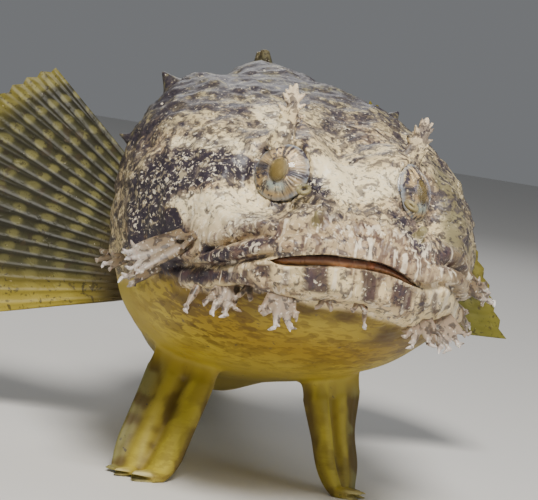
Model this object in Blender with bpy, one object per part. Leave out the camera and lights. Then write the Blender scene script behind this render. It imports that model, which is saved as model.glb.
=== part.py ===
"""Gulf toadfish, life size, propped on its pelvic fins: the solid parts.

The fish faces -Y on the floor z = 0, and its right side is -X. Sizes in the tables are millimetres.
"""
import math
import random

import bmesh
import bpy
import numpy as np
from mathutils import Matrix, Vector
from mathutils.geometry import tessellate_polygon

MM = 0.001
GAP = 0.3                 # clear space between neighbouring nodes
STANDARD_LENGTH = 230.0   # snout to the root of the tail fin, along the back
BEND_START = 82.0         # where the body starts to curve to its left
BEND_END = 215.0
BEND_ANGLE = 27.0         # degrees the tail is turned
ORIGIN_Y = 126.6          # behind the snout, and ORIGIN_X to the left: under the middle of the whole fish
ORIGIN_X = -0.5

# Behind the snout: half width, top, belly, height of the widest line, height of the mouth line
# (then of the lower edge of the cheek), and squareness of the section.
BODY = (
    (0.0, 0.0, 56.5, 56.5, 56.5, 56.5, 1.00),
    (1.5, 8.6, 60.2, 53.2, 56.5, 56.2, 0.98),
    (4.0, 14.2, 62.8, 49.4, 56.0, 55.4, 0.96),
    (9.0, 20.6, 66.0, 44.8, 55.2, 53.0, 0.95),
    (16.0, 25.8, 69.6, 40.2, 55.0, 50.3, 0.93),
    (25.0, 30.4, 74.0, 35.4, 56.0, 48.2, 0.88),
    (36.0, 34.6, 79.2, 30.6, 57.0, 46.2, 0.82),
    (49.0, 37.6, 84.0, 26.2, 58.5, 43.5, 0.78),
    (62.0, 38.4, 87.6, 22.6, 59.5, 41.5, 0.77),
    (76.0, 35.4, 89.6, 19.4, 60.0, 40.5, 0.80),
    (90.0, 30.4, 90.6, 16.8, 58.0, 38.0, 0.88),
    (105.0, 26.4, 87.6, 14.6, 52.0, 36.0, 0.96),
    (120.0, 22.4, 77.6, 12.6, 45.0, 33.0, 0.96),
    (135.0, 18.8, 65.8, 11.0, 38.0, 29.0, 0.96),
    (150.0, 15.4, 55.4, 10.0, 31.5, 25.5, 0.97),
    (170.0, 11.6, 44.0, 9.2, 25.5, 21.0, 1.00),
    (190.0, 8.4, 35.4, 8.8, 21.6, 18.0, 1.00),
    (210.0, 5.8, 29.2, 8.8, 19.0, 16.0, 1.00),
    (230.0, 4.0, 25.8, 9.2, 17.5, 14.0, 1.00),
)
MOUTH_CORNER = 28.0       # behind the snout
MOUTH_DROOP = 3.0         # how far the mouth hangs lower on the left of its middle
# The open lips: place to the left of the midline, and how far the mouth opens above and below its line.
GAPE = ((-18.8, 0.0, 0.0), (-17.2, 0.1, 1.3), (-15.6, 0.2, 1.9), (-12.9, 0.4, 2.1), (-8.4, 0.7, 1.9),
        (-1.5, 0.7, 1.6), (3.0, 0.6, 1.4), (6.1, 0.5, 1.1), (9.0, 0.5, 0.6), (12.0, 0.0, 0.0))
GAPE_DEPTH = 8.0

EYE = (12.1, 24.8, 69.2)  # centre of the left eyeball
EYE_RADIUS = 6.6
EYE_TURN = 43.0           # degrees outward from straight ahead
EYE_RISE = 17.0           # degrees upward
LID_RADIUS = 6.0
LID_THICK = 1.1
LID_REACH = 14.0          # from the eye's axis, where the skin round it is at its own level again
WINDOW = (12.0, 4.6, 8.4) # the opening between the lids, a cone: length, radius at the eye's middle and at its end

SECTIONS_FACE = 17
SECTIONS_HEAD = 13
SECTIONS_BODY = 19
ROWS_ABOVE = 13
ROWS_BELOW = 12

SKIN = (0.62, 0.56, 0.47)
THROAT = (0.62, 0.56, 0.22)
BACK = (0.22, 0.22, 0.17)
FIN = (0.20, 0.21, 0.13)
FLAP = (0.72, 0.66, 0.66)
LEG = (0.66, 0.63, 0.36)
AMBER = (0.62, 0.45, 0.13)
ROUGHNESS = 0.45


def smooth(value, low, high):
    """0 below low, 1 above high, with an S between."""
    t = np.clip((value - low) / (high - low), 0.0, 1.0)
    return t * t * (3 - 2 * t)


def hump(distance, width):
    return np.exp(-((distance / width) ** 2))


def curve_through(table, column):
    """A monotone cubic through one column of a table, in the square root of its first column."""
    x = np.sqrt(np.array([row[0] for row in table]))
    y = np.array([row[column] for row in table])
    step = np.diff(x)
    slope = np.diff(y) / step
    inner = np.where(slope[:-1] * slope[1:] > 0,
                     2 * slope[:-1] * slope[1:] / (slope[:-1] + slope[1:] + 1e-12), 0.0)
    tangent = np.concatenate([[slope[0]], inner, [slope[-1]]])

    def value(at):
        u = np.sqrt(np.clip(at, 0, table[-1][0]))
        k = np.clip(np.searchsorted(x, u, side="right") - 1, 0, len(step) - 1)
        t = (u - x[k]) / step[k]
        return ((1 + 2 * t) * (1 - t) ** 2 * y[k] + t * (1 - t) ** 2 * step[k] * tangent[k]
                + t * t * (3 - 2 * t) * y[k + 1] + t * t * (t - 1) * step[k] * tangent[k + 1])

    return value


half_width, top, belly, wide_at, mouth_at, squareness = (curve_through(BODY, k) for k in range(1, 7))


def spine():
    """The run of the body in plan: places and headings at each half millimetre behind the snout."""
    s = np.arange(0.0, STANDARD_LENGTH + 60.5, 0.5)
    turn = np.radians(BEND_ANGLE) * smooth(s, BEND_START, BEND_END)
    x = np.concatenate([[0], np.cumsum(np.sin(turn[:-1]) * 0.5)])
    y = np.concatenate([[0], np.cumsum(np.cos(turn[:-1]) * 0.5)])
    return s, x, y, turn


SPINE = spine()


def placed(s, side, z):
    """A point at s along the body, side millimetres to its left of the midline, at height z."""
    at, x, y, turn = SPINE
    mid_x = np.interp(s, at, x)
    mid_y = np.interp(s, at, y) + np.minimum(s, 0)
    angle = np.interp(s, at, turn)
    return np.stack([mid_x + side * np.cos(angle) - ORIGIN_X,
                     mid_y - side * np.sin(angle) - ORIGIN_Y, z + 0 * side], -1)


def section(s, angle):
    """Side and height of the plain body outline at s, at an angle up from its widest line."""
    e = squareness(s)
    rise = np.sin(angle)
    tall = np.where(rise > 0, top(s) - wide_at(s), wide_at(s) - belly(s))
    side = half_width(s) * np.abs(np.cos(angle)) ** e
    return side, wide_at(s) + tall * np.sign(rise) * np.abs(rise) ** e


def mouth_angle(s):
    """The angle in the section where the mouth line, or the lower edge of the cheek, runs."""
    drop = (mouth_at(s) - wide_at(s)) / np.maximum(wide_at(s) - belly(s), 1e-3)
    return np.arcsin(-np.clip(-drop, 0, 1) ** (1 / squareness(s)))


def mouth_droop(side):
    return -MOUTH_DROOP * hump(side - 12.5, 6.5)


def relief(s, side, z):
    """How far the skin stands out from the plain outline, from the folds of the face."""
    lips = 1 - smooth(s, MOUTH_CORNER - 5, MOUTH_CORNER + 5)
    face = 1 - smooth(s, 50, 80)
    from_mouth = z - mouth_at(s) - mouth_droop(side)
    beside = smooth(np.abs(side), 10, 18)
    lip_edge = 6.6 - 3.6 * smooth(s, 6, 14)
    out = lips * (1.1 + 0.6 * beside) * hump(from_mouth - 2.4, 2.2)
    out += lips * 2.2 * hump(from_mouth + 0.5 * (lip_edge + 1.5), 0.62 * lip_edge)
    out -= lips * 1.1 * beside * hump(from_mouth - 6.4 + 2.6 * smooth(s, 8, 22), 1.3)
    out -= lips * 1.3 * hump(from_mouth + lip_edge + 0.9, 1.1)
    across = np.abs(side) - EYE[0] - 0.5
    orbit = np.sqrt(across ** 2 + (s - EYE[1] - 3.5) ** 2 + (z - EYE[2] - 4.5) ** 2)
    out += 2.0 * hump(orbit, 8.0)
    out -= 1.6 * hump(side, 5.5) * hump(s - 31, 12) * smooth(z, 70, 78)
    out -= 1.3 * hump(side, 1.5) * hump(s - 11, 5) * smooth(z, 62, 68)
    out += face * 1.4 * hump(z - 52, 9) * hump(s - 46, 14)
    out -= 1.2 * face * hump(from_mouth, 3.0) * smooth(s, MOUTH_CORNER, MOUTH_CORNER + 8)
    # The nape's rounded ridge, a valley beside it, and the shoulder over each gill cover.
    out += 2.8 * hump(side, 8.5) * hump(s - 98, 13)
    out -= 1.8 * hump(side + 13, 5) * hump(s - 88, 14)
    out += 1.6 * hump(side + 23, 6) * hump(s - 78, 10) * smooth(z, 76, 84)
    out -= 2.4 * hump(side - 30, 9) * hump(s - 80, 22) * smooth(z, 66, 78)
    return out


def settle_round_eye(side, station, z):
    """Brings the skin round the eye into the plane of its lids."""
    axis = eye_axis(1)
    dx, dy, dz = side - EYE[0], station - EYE[1], z - EYE[2]
    along = dx * axis.x + dy * axis.y + dz * axis.z
    radial = np.sqrt(np.maximum(dx * dx + dy * dy + dz * dz - along * along, 0))
    off = along - math.sqrt(EYE_RADIUS ** 2 - LID_RADIUS ** 2)
    pull = (1 - smooth(radial, LID_RADIUS + 0.5, LID_REACH)) * (1 - smooth(np.abs(off), 9, 13))
    pull *= smooth(side, 0.0, 4.0)
    return side - axis.x * off * pull, station - axis.y * off * pull, z - axis.z * off * pull


def stations(face, head, body):
    """Distances behind the snout, closest together at the lips."""
    near = 30.0 * (1 - np.cos(np.linspace(0, math.pi / 2, face + 1)[1:] ** 1.02))
    mid = np.linspace(near[-1], 92.0, head + 1)[1:]
    far = np.linspace(92.0, STANDARD_LENGTH, body + 1)[1:]
    return np.concatenate([near, mid, far])


def rows(count, power=1.35):
    return (np.arange(count + 1) / count) ** power


def body_surface(face, head, body, above, below, grow=0.0):
    """Rings of points round the body, each from the top, down the left side, and up the right."""
    s = stations(face, head, body)
    split = mouth_angle(s)
    upper = split[:, None] + (math.pi / 2 - split)[:, None] * rows(above)[None, ::-1]
    lower = split[:, None] - (math.pi / 2 + split)[:, None] * rows(below)[None, 1:]
    angle = np.concatenate([upper, lower], 1)
    station = np.repeat(s[:, None], angle.shape[1], 1)
    side, z = section(station, angle)
    side[:, 0] = 0
    side[:, -1] = 0
    # The normal comes from the grid's own two directions.
    along_s = np.gradient(np.stack([side, station, z], -1), axis=0)
    along_a = np.gradient(np.stack([side, station, z], -1), axis=1)
    normal = np.cross(along_a, along_s)
    normal /= np.maximum(np.linalg.norm(normal, axis=-1, keepdims=True), 1e-9)
    normal *= np.where((normal[..., 0] * side + normal[..., 2] * (z - wide_at(station))) < 0, -1, 1)[..., None]
    normal[:, 0, 0] = 0
    normal[:, -1, 0] = 0
    halves = []
    for way in (1, -1):
        push = grow + relief(station, way * side, z) * smooth(station, 0.0, 4.0)
        moved = (side + normal[..., 0] * push, station + normal[..., 1] * push, z + normal[..., 2] * push)
        across, along, high = settle_round_eye(*moved)
        halves.append(placed(along, way * across, high))
    return np.concatenate([halves[0], halves[1][:, -2:0:-1]], 1)


def loft(rings, nose, tail):
    """A closed mesh over rings of points, with a fan at each end."""
    count, around = rings.shape[:2]
    points = [tuple(p) for ring in rings for p in ring] + [tuple(nose), tuple(tail)]
    faces = []
    for i in range(count - 1):
        for j in range(around):
            k = (j + 1) % around
            faces.append((i * around + j, i * around + k, (i + 1) * around + k, (i + 1) * around + j))
    first, last = len(points) - 2, len(points) - 1
    for j in range(around):
        k = (j + 1) % around
        faces.append((first, k, j))
        faces.append((last, (count - 1) * around + j, (count - 1) * around + k))
    return points, faces


def material(name, colour, roughness):
    made = bpy.data.materials.get(name) or bpy.data.materials.new(name)
    made.use_nodes = True
    shader = made.node_tree.nodes["Principled BSDF"]
    shader.inputs["Base Color"].default_value = (*colour, 1)
    shader.inputs["Roughness"].default_value = roughness
    shader.inputs["Metallic"].default_value = 0.0
    return made


def mesh_object(name, points, faces, collection):
    """An object from points in millimetres, with its faces turned outward."""
    mesh = bpy.data.meshes.new(name)
    mesh.from_pydata([tuple(c * MM for c in p) for p in points], [], faces)
    work = bmesh.new()
    work.from_mesh(mesh)
    bmesh.ops.remove_doubles(work, verts=work.verts, dist=1e-6)
    bmesh.ops.recalc_face_normals(work, faces=work.faces)
    if work.calc_volume(signed=True) < 0:
        bmesh.ops.reverse_faces(work, faces=work.faces)
    work.to_mesh(mesh)
    work.free()
    made = bpy.data.objects.new(name, mesh)
    collection.objects.link(made)
    return made


def whole_body(name, collection, grow=0.0):
    rings = body_surface(SECTIONS_FACE, SECTIONS_HEAD, SECTIONS_BODY, ROWS_ABOVE, ROWS_BELOW, grow)
    nose = placed(np.array(-grow), np.array(0.0), np.array(56.5))
    tail = placed(np.array(STANDARD_LENGTH + grow), np.array(0.0), np.array(17.8))
    return mesh_object(name, *loft(rings, nose, tail), collection)


def measure(mesh):
    """The volume of a mesh, and whether each of its edges has two faces."""
    work = bmesh.new()
    work.from_mesh(mesh)
    found = work.calc_volume(signed=True), all(len(edge.link_faces) == 2 for edge in work.edges)
    work.free()
    return found


def apply_boolean(obj, other, operation):
    """One Boolean with an object, or with a whole collection, applied."""
    before, _ = measure(obj.data)
    for solver in ("EXACT", "MANIFOLD"):
        step = obj.modifiers.new(operation.title(), "BOOLEAN")
        step.operation = operation
        step.solver = solver
        if isinstance(other, bpy.types.Collection):
            step.operand_type = "COLLECTION"
            step.collection = other
        else:
            step.object = other
        bpy.context.view_layer.update()
        graph = bpy.context.evaluated_depsgraph_get()
        mesh = bpy.data.meshes.new_from_object(obj.evaluated_get(graph))
        obj.modifiers.clear()
        volume, closed = measure(mesh)
        grown = volume > before if operation == "UNION" else 0.01 * before < volume < before
        if closed and grown and abs(volume - before) > 1e-6 * before:
            break
    old = obj.data
    obj.data = mesh
    bpy.data.meshes.remove(old)


def keep_largest(obj):
    """Keeps the largest closed surface of an object, by volume."""
    work = bmesh.new()
    work.from_mesh(obj.data)
    bmesh.ops.remove_doubles(work, verts=work.verts, dist=2e-7)
    bmesh.ops.triangulate(work, faces=work.faces)
    left = set(work.faces)
    shells = []
    while left:
        stack = [left.pop()]
        shell = set(stack)
        while stack:
            for edge in stack.pop().edges:
                for face in edge.link_faces:
                    if face in left:
                        left.discard(face)
                        shell.add(face)
                        stack.append(face)
        size = sum(f.verts[0].co.dot(f.verts[1].co.cross(f.verts[2].co)) / 6 for f in shell)
        shells.append((abs(size), shell))
    shells.sort(key=lambda item: item[0], reverse=True)
    for _, shell in shells[1:]:
        bmesh.ops.delete(work, geom=list(shell), context="FACES")
    loose = [v for v in work.verts if not v.link_faces]
    bmesh.ops.delete(work, geom=loose, context="VERTS")
    work.to_mesh(obj.data)
    work.free()


def inset(outline, by):
    """A polygon of (y, z) corners with each side moved inward."""
    area = sum(a[0] * b[1] - b[0] * a[1] for a, b in zip(outline, outline[1:] + outline[:1])) / 2
    turn = 1 if area > 0 else -1
    moved = []
    for before, here, after in zip(outline[-1:] + outline[:-1], outline, outline[1:] + outline[:1]):
        one = Vector((here[0] - before[0], here[1] - before[1])).normalized()
        two = Vector((after[0] - here[0], after[1] - here[1])).normalized()
        inward = Vector((-one.y - two.y, one.x + two.x)) * turn
        inward.normalize()
        across = Vector((-one.y, one.x)) * turn
        reach = by / max(inward.dot(across), 0.3)
        moved.append((here[0] + inward.x * reach, here[1] + inward.y * reach))
    return moved


SLICES = (-130.0, -30.0, -24.0, -18.8, -17.2, -15.6, -12.9, -8.4, -5.0, -1.5, 1.0, 3.0, 6.1, 9.0, 12.0, 15.0,
          18.0, 21.0, 25.0, 30.0, 130.0)


def region_solid(name, collection):
    """The space that holds one part of the body: its side outline, carried from far right to far left."""
    points, faces = [], []
    for side in SLICES:
        outline = inset(regions(side)[name], GAP / 2)
        points += [(side - ORIGIN_X, s - ORIGIN_Y, z) for s, z in outline]
    count = len(outline)
    for i in range(len(SLICES) - 1):
        for k in range(count):
            here, after = i * count + k, i * count + (k + 1) % count
            # Neighbouring parts share a boundary, so both are split along the same diagonal of it.
            if outline[k] < outline[(k + 1) % count]:
                faces += [(here, here + count, after + count), (here, after + count, after)]
            else:
                faces += [(here, here + count, after), (here + count, after + count, after)]
    faces += [tuple(range(count)), tuple(range(len(points) - 1, len(points) - 1 - count, -1))]
    return mesh_object(name + "_region", points, faces, collection)


def mouth_opening(side, s, lip):
    """How far the mouth opens above and below its line, at a place on the line behind the lip's face."""
    share = min(max(1 - (s - lip) / GAPE_DEPTH, 0), 1) ** 1.3
    spots, above, below = zip(*GAPE)
    return [share * float(np.interp(side, spots, column)) for column in (above, below)]


def mouth_edges(side):
    """The upper and lower edges of the gap between head and jaw, from in front of the lips to the mouth's corner."""
    lip = face_depth(min(abs(side), 20.0), float(mouth_at(6.0)))
    upper, lower = [], []
    for s in (0.0, lip, lip + 2.0, lip + 5.0, lip + GAPE_DEPTH, lip + GAPE_DEPTH + 3.0, MOUTH_CORNER):
        line = float(mouth_at(s) + mouth_droop(side))
        above, below = mouth_opening(side, s, lip)
        upper.append((s, line + above))
        lower.append((s, line - below))
    return upper, lower


def regions(side):
    """Side outlines that part the body at this distance from the midline: each node is what lies inside its own."""
    jaw_joint = (37.0, 45.6)
    cheek = [(48.0, 43.4), (62.0, 40.6), (76.0, 39.6), (83.5, 43.0)]
    gill_edge = [(87.0, 52.0), (88.5, 64.0), (87.0, 78.0), (82.0, 110.0)]
    upper, lower = mouth_edges(side)
    front_up = (-20.0, upper[0][1])
    front_low = (-20.0, lower[0][1])
    throat_end = [(84.5, 30.0), (84.0, -9.0)]
    return {
        "head": [front_up] + upper + [jaw_joint] + cheek + gill_edge + [(-20.0, 110.0)],
        "lower_jaw": [front_low, (-20.0, 10.0), (33.0, 10.0)] + [jaw_joint] + lower[::-1],
        "throat": [jaw_joint, (33.0, 10.0), (33.0, -9.0)] + throat_end[::-1] + cheek[::-1],
        "torso": cheek[-1:] + throat_end + [(140.0, -9.0), (140.0, 110.0)] + gill_edge[::-1],
        "tail_front": [(140.0, -9.0), (183.0, -9.0), (183.0, 110.0), (140.0, 110.0)],
        "tail_rear": [(183.0, -9.0), (290.0, -9.0), (290.0, 110.0), (183.0, 110.0)],
    }


def eye_axis(side):
    """The way an eye looks: side is 1 for the left eye and -1 for the right."""
    turn, rise = math.radians(EYE_TURN), math.radians(EYE_RISE)
    return Vector((side * math.sin(turn) * math.cos(rise), -math.cos(turn) * math.cos(rise), math.sin(rise)))


def eye_centre(side):
    return Vector((side * EYE[0] - ORIGIN_X, EYE[1] - ORIGIN_Y, EYE[2]))


def sphere(name, centre, radius, axis, collection, around=18, high=10):
    """A ball whose pole points along axis."""
    mesh = bpy.data.meshes.new(name)
    work = bmesh.new()
    bmesh.ops.create_uvsphere(work, u_segments=around, v_segments=high, radius=radius * MM)
    work.to_mesh(mesh)
    work.free()
    made = bpy.data.objects.new(name, mesh)
    collection.objects.link(made)
    mesh.transform(Matrix.Translation(centre * MM) @ axis.to_track_quat("Z", "Y").to_matrix().to_4x4())
    return made


def ring(name, centre, axis, radius, thick, collection, around=18, sides=6):
    """A torus round axis, for a lid or the rim of a nostril."""
    across = axis.to_track_quat("Z", "Y").to_matrix()
    points, faces = [], []
    for i in range(around):
        a = 2 * math.pi * i / around
        for j in range(sides):
            b = 2 * math.pi * j / sides
            out = radius + thick * math.cos(b)
            points.append(centre + across @ Vector((out * math.cos(a), out * math.sin(a), thick * math.sin(b))))
    for i in range(around):
        n = (i + 1) % around
        for j in range(sides):
            m = (j + 1) % sides
            faces.append((i * sides + j, n * sides + j, n * sides + m, i * sides + m))
    return mesh_object(name, points, faces, collection)


def cone(name, base, tip, base_radius, tip_radius, collection, sides=6):
    """A tapered spine or tube from base to tip."""
    axis = (tip - base).normalized()
    across = axis.to_track_quat("Z", "Y").to_matrix()
    points, faces = [], []
    for centre, radius in ((base, base_radius), (tip, tip_radius)):
        for j in range(sides):
            a = 2 * math.pi * j / sides
            points.append(centre + across @ Vector((radius * math.cos(a), radius * math.sin(a), 0)))
    for j in range(sides):
        n = (j + 1) % sides
        faces.append((j, n, sides + n, sides + j))
    faces.append(tuple(range(sides - 1, -1, -1)))
    faces.append(tuple(range(sides, 2 * sides)))
    return mesh_object(name, points, faces, collection)


def flap_outline(fingers, width, length, rng, sunk):
    """A leaf of skin with blunt fingers: (across, along) corners, and a thickness at each."""
    palm = 0.5 * length
    fan = 1.0
    corners = [(-0.24 * width, -sunk * length, 1.0), (-0.22 * width, 0.14 * length, 0.95)]
    for k in range(fingers):
        spread = 0 if fingers == 1 else (k / (fingers - 1) - 0.5) * 2
        angle = spread * fan + rng.uniform(-0.1, 0.1)
        reach = (length - palm) * (1 - 0.25 * abs(spread) + rng.uniform(-0.2, 0.15))
        way = (math.sin(angle), math.cos(angle))
        root = (way[0] * 0.26 * width, palm * 0.8 + way[1] * 0.16 * palm)
        tip = (root[0] + way[0] * reach, root[1] + way[1] * reach)
        blunt = 0.055 * width * (1 if fingers > 1 else 1.6)
        corners.append((tip[0] - way[1] * blunt, tip[1] + way[0] * blunt, 0.55))
        corners.append((tip[0] + way[1] * blunt, tip[1] - way[0] * blunt, 0.55))
        if k < fingers - 1:
            between = ((k + 0.5) / (fingers - 1) - 0.5) * 2 * fan
            corners.append((math.sin(between) * 0.36 * width, palm * 0.84 + math.cos(between) * 0.3 * palm, 0.85))
    corners.append((0.22 * width, 0.14 * length, 0.95))
    corners.append((0.24 * width, -sunk * length, 1.0))
    return corners


TENTACLE_HEIGHT = 8.8
TENTACLE_WIDTH = 3.2
# Short branches of an eye tentacle, up one edge then down the other: share of the height, length, lean outward.
TENTACLE_BRANCHES = ((-1, 0.34, 1.7, 52), (-1, 0.57, 1.9, 42), (-1, 0.78, 1.5, 28),
                     (1, 0.68, 1.7, 36), (1, 0.46, 1.8, 46), (1, 0.24, 1.4, 56))


def tentacle_half_width(share):
    return 0.5 * TENTACLE_WIDTH * (1 - share) ** 0.55


def tentacle_outline():
    """A tapering stalk with short branches: (across, along) corners, and a thickness at each."""
    corners = [(-tentacle_half_width(0), 0.0, 1.0)]
    for edge, share, length, lean in TENTACLE_BRANCHES:
        if edge == 1 and corners[-1][0] < 0:
            corners += [(-0.3, TENTACLE_HEIGHT, 0.55), (0.3, TENTACLE_HEIGHT, 0.55)]
        low, high = share - 0.07, share + 0.07
        way = (edge * math.sin(math.radians(lean)), math.cos(math.radians(lean)))
        tip = (edge * tentacle_half_width(share) + way[0] * length, share * TENTACLE_HEIGHT + way[1] * length)
        side_on = (way[1] * 0.25, -way[0] * 0.25)
        foot = [(edge * tentacle_half_width(low), low * TENTACLE_HEIGHT, 0.9),
                (edge * tentacle_half_width(high), high * TENTACLE_HEIGHT, 0.85)]
        ends = [(tip[0] + side_on[0], tip[1] + side_on[1], 0.5), (tip[0] - side_on[0], tip[1] - side_on[1], 0.5)]
        if edge == -1:
            corners += [foot[0], ends[1], ends[0], foot[1]]
        else:
            corners += [foot[1], ends[1], ends[0], foot[0]]
    corners.append((tentacle_half_width(0), 0.0, 1.0))
    return corners


def flap(name, base, lie, face, corners, length, collection, thick=0.8, curl=0.12):
    """A leaf of skin from base, pointing along lie, its flat side towards face."""
    lie = lie.normalized()
    across = lie.cross(face).normalized()
    face = across.cross(lie).normalized()
    flat = [Vector((a, b, 0)) for a, b, _ in corners]
    triangles = tessellate_polygon([flat])
    points = []
    for way in (1, -1):
        for a, b, share in corners:
            bend = curl * b * b / length
            points.append(base + across * a + lie * b + face * (bend + way * 0.5 * thick * share))
    count = len(corners)
    faces = [tuple(t) for t in triangles] + [tuple(count + k for k in reversed(t)) for t in triangles]
    for k in range(count):
        n = (k + 1) % count
        faces.append((k, n, count + n, count + k))
    return mesh_object(name, points, faces, collection)


def on_skin(s, side, height=None, across=None):
    """The point of the plain outline at s, at a height or at a distance from the midline, and the way out."""
    low, high = (-math.pi / 2, math.pi / 2) if across is None else (0.0, math.pi / 2)
    for _ in range(40):
        middle = (low + high) / 2
        found = [float(v) for v in section(np.array(s), np.array(middle))]
        if (found[1] < height) if across is None else (found[0] > across):
            low = middle
        else:
            high = middle
    near = [float(v) for v in section(np.array(s), np.array(middle + 0.03))]
    after = [float(v) for v in section(np.array(s + 0.5), np.array(middle))]
    up = Vector((near[0] - found[0], 0, near[1] - found[1]))
    back = Vector((after[0] - found[0], 0.5, after[1] - found[1]))
    out = back.cross(up).normalized()
    if out.x * found[0] + out.z * (found[1] - float(wide_at(s))) < 0:
        out = -out
    out.x *= side
    return Vector(placed(np.array(s), np.array(side * found[0]), np.array(found[1]))), out


def face_depth(across, height):
    """How far behind the snout the plain outline is met at this distance from the midline and height."""
    low, high = 0.02, 60.0
    for _ in range(40):
        s = np.array((low + high) / 2)
        rise = height - float(wide_at(s))
        tall = float(top(s) - wide_at(s)) if rise > 0 else float(wide_at(s) - belly(s))
        share = min(abs(rise) / tall, 1.0) ** (1 / float(squareness(s)))
        if float(half_width(s)) * math.sqrt(1 - share * share) ** float(squareness(s)) > across:
            high = float(s)
        else:
            low = float(s)
    return high


def on_face(side, across, height):
    """The point of the face seen from the front at this place, and the way out from it."""
    s = face_depth(across, height)
    out = Vector(((face_depth(across + 0.3, height) - s) / 0.3, -1, (face_depth(across, height + 0.3) - s) / 0.3))
    out.normalize()
    out.x *= side
    return Vector(placed(np.array(s), np.array(side * across), np.array(height))), out


FLAP_ROOT = 1.7           # how deep the root of a chin flap is sunk


def chin_flaps(collection):
    """Barbels and leaves of skin in a row under the lower lip and round the corners of the mouth."""
    rng = random.Random(7)
    made = []
    # distance from the midline, height, side, width, length, fingers, lean outward
    spots = (
        (26.6, 46.4, -1, 2.8, 9.0, 1, 0.25), (22.6, 47.0, -1, 6.6, 8.4, 4, 0.1), (19.6, 46.8, -1, 2.8, 4.0, 2, 0.0),
        (14.2, 48.2, -1, 6.8, 9.0, 5, 0.0), (6.2, 47.8, -1, 2.8, 3.8, 2, 0.0), (0.3, 48.0, 1, 2.4, 3.2, 2, 0.0),
        (1.8, 47.4, 1, 1.8, 5.4, 1, 0.0), (8.2, 47.6, 1, 3.0, 3.2, 2, 0.0), (14.6, 47.0, 1, 6.4, 8.2, 4, 0.0),
        (19.8, 47.0, 1, 7.4, 9.6, 5, 0.3), (24.4, 45.6, 1, 4.0, 5.6, 3, 0.1),
    )
    for k, (across, height, side, width, length, fingers, lean) in enumerate(spots):
        base, out = on_face(side, across, height)
        level = Vector((out.x, out.y, 0)).normalized()
        lie = Vector((0, 0, -1)) + level * (0.3 + lean)
        face = Vector((0.35 * level.x - 0.15, -1, 0.2))
        corners = flap_outline(fingers, width, length, rng, min(0.36, FLAP_ROOT / length))
        made.append(flap(f"chin_flap_{k}", base + level * 0.8, lie, face, corners, length, collection,
                         thick=1.2 if fingers > 1 else 1.7))
    return made


def cheek_flaps(collection):
    """Leaves of skin at the corners of the mouth, along the cheek and on the gill cover."""
    rng = random.Random(11)
    made = []
    # sides, s, height, width, length, fingers, how far each lies back, down and outward
    spots = (
        ((-1,), 28.0, 52.6, 7.4, 14.0, 5, 0.15, 0.42, 1.0), ((1,), 28.0, 52.6, 5.6, 8.0, 5, 0.15, 0.42, 1.0),
        ((1,), 21.0, 53.0, 4.4, 7.0, 3, 0.4, 0.3, 1.0), ((-1, 1), 38.0, 46.4, 5.4, 7.6, 3, 0.5, 0.6, 0.8),
        ((-1, 1), 24.0, 54.6, 3.4, 4.4, 2, 0.3, 0.6, 0.8), ((-1, 1), 52.0, 46.0, 4.2, 5.6, 3, 0.7, 0.5, 0.7),
        ((-1, 1), 66.0, 45.0, 3.6, 5.4, 2, 0.8, 0.4, 0.7),
    )
    for k, (sides, s, height, width, length, fingers, back, down, outward) in enumerate(spots):
        for side in sides:
            base, out = on_skin(s, side, height=height)
            lie = Vector((outward * side, back, -down))
            face = Vector((0.2 * side, -0.75, 0.6))
            share = rng.uniform(0.92, 1.06)
            corners = flap_outline(fingers, width * share, length * share, rng, 0.3)
            made.append(flap(f"cheek_flap_{side}_{k}", base + out * 0.2, lie, face, corners, length * share,
                             collection, thick=1.2))
    return made


def gill_spines(collection):
    """Short skin-covered spines at the upper corner of each gill cover."""
    made = []
    # behind the snout, height, length, radius
    spots = ((79.0, 83.0, 5.0, 4.4), (77.0, 70.0, 3.2, 2.6))
    for side in (-1, 1):
        for k, (s, height, length, radius) in enumerate(spots):
            base, out = on_skin(s, side, height=height)
            tip = base + Vector((side * 0.55, 0.35, 0.55 if k == 0 else 0.2)).normalized() * length
            made.append(cone(f"gill_spine_{side}_{k}", base - out * 2.5, tip, radius, 0.4, collection))
    return made


# Front tube and rear rim of a nostril: behind the snout, and from the midline.
NOSTRIL_TUBE = (5.5, 10.5)
NOSTRIL_RIM = (15.0, 11.5)


def nostrils(collection):
    """The short tube of each front nostril and the raised rim of each rear one."""
    made = []
    for side in (-1, 1):
        base, out = on_skin(NOSTRIL_TUBE[0], side, across=NOSTRIL_TUBE[1])
        tip = base + (out + Vector((0, -0.2, 0.5))).normalized() * 2.6
        made.append(cone(f"nostril_tube_{side}", base - out * 1.8, tip, 1.1, 0.7, collection))
        base, out = on_skin(NOSTRIL_RIM[0], side, across=NOSTRIL_RIM[1])
        made.append(ring(f"nostril_rim_{side}", base + out * 0.2, out, 1.7, 0.65, collection, 8, 4))
    return made


def lids(collection):
    made = []
    for side in (-1, 1):
        axis = eye_axis(side)
        out = math.sqrt(EYE_RADIUS ** 2 - LID_RADIUS ** 2)
        made.append(ring(f"lid_{side}", eye_centre(side) + axis * (out - 0.5), axis, LID_RADIUS + LID_THICK * 0.8,
                         LID_THICK, collection, 18, 6))
    return made


# Where each eye tentacle's root lies from its eye's centre (outward, back, up), and its lean to the left.
TENTACLE = {-1: ((1.6, 1.4, 10.4), 0.08), 1: ((2.4, 2.6, 8.2), 0.26)}


def tentacle_root(side):
    """The middle of the flat top of the boss over an eye, and the way the tentacle stands on it."""
    (outward, back, up), lean = TENTACLE[side]
    return eye_centre(side) + Vector((side * outward, back, up)), Vector((lean, -0.02, 1.0)).normalized()


def tentacle_bosses(collection):
    made = []
    for side in (-1, 1):
        root, lie = tentacle_root(side)
        made.append(cone(f"boss_{side}", root - lie * 5.0, root, 2.9, 2.0, collection, 8))
    return made


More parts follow.
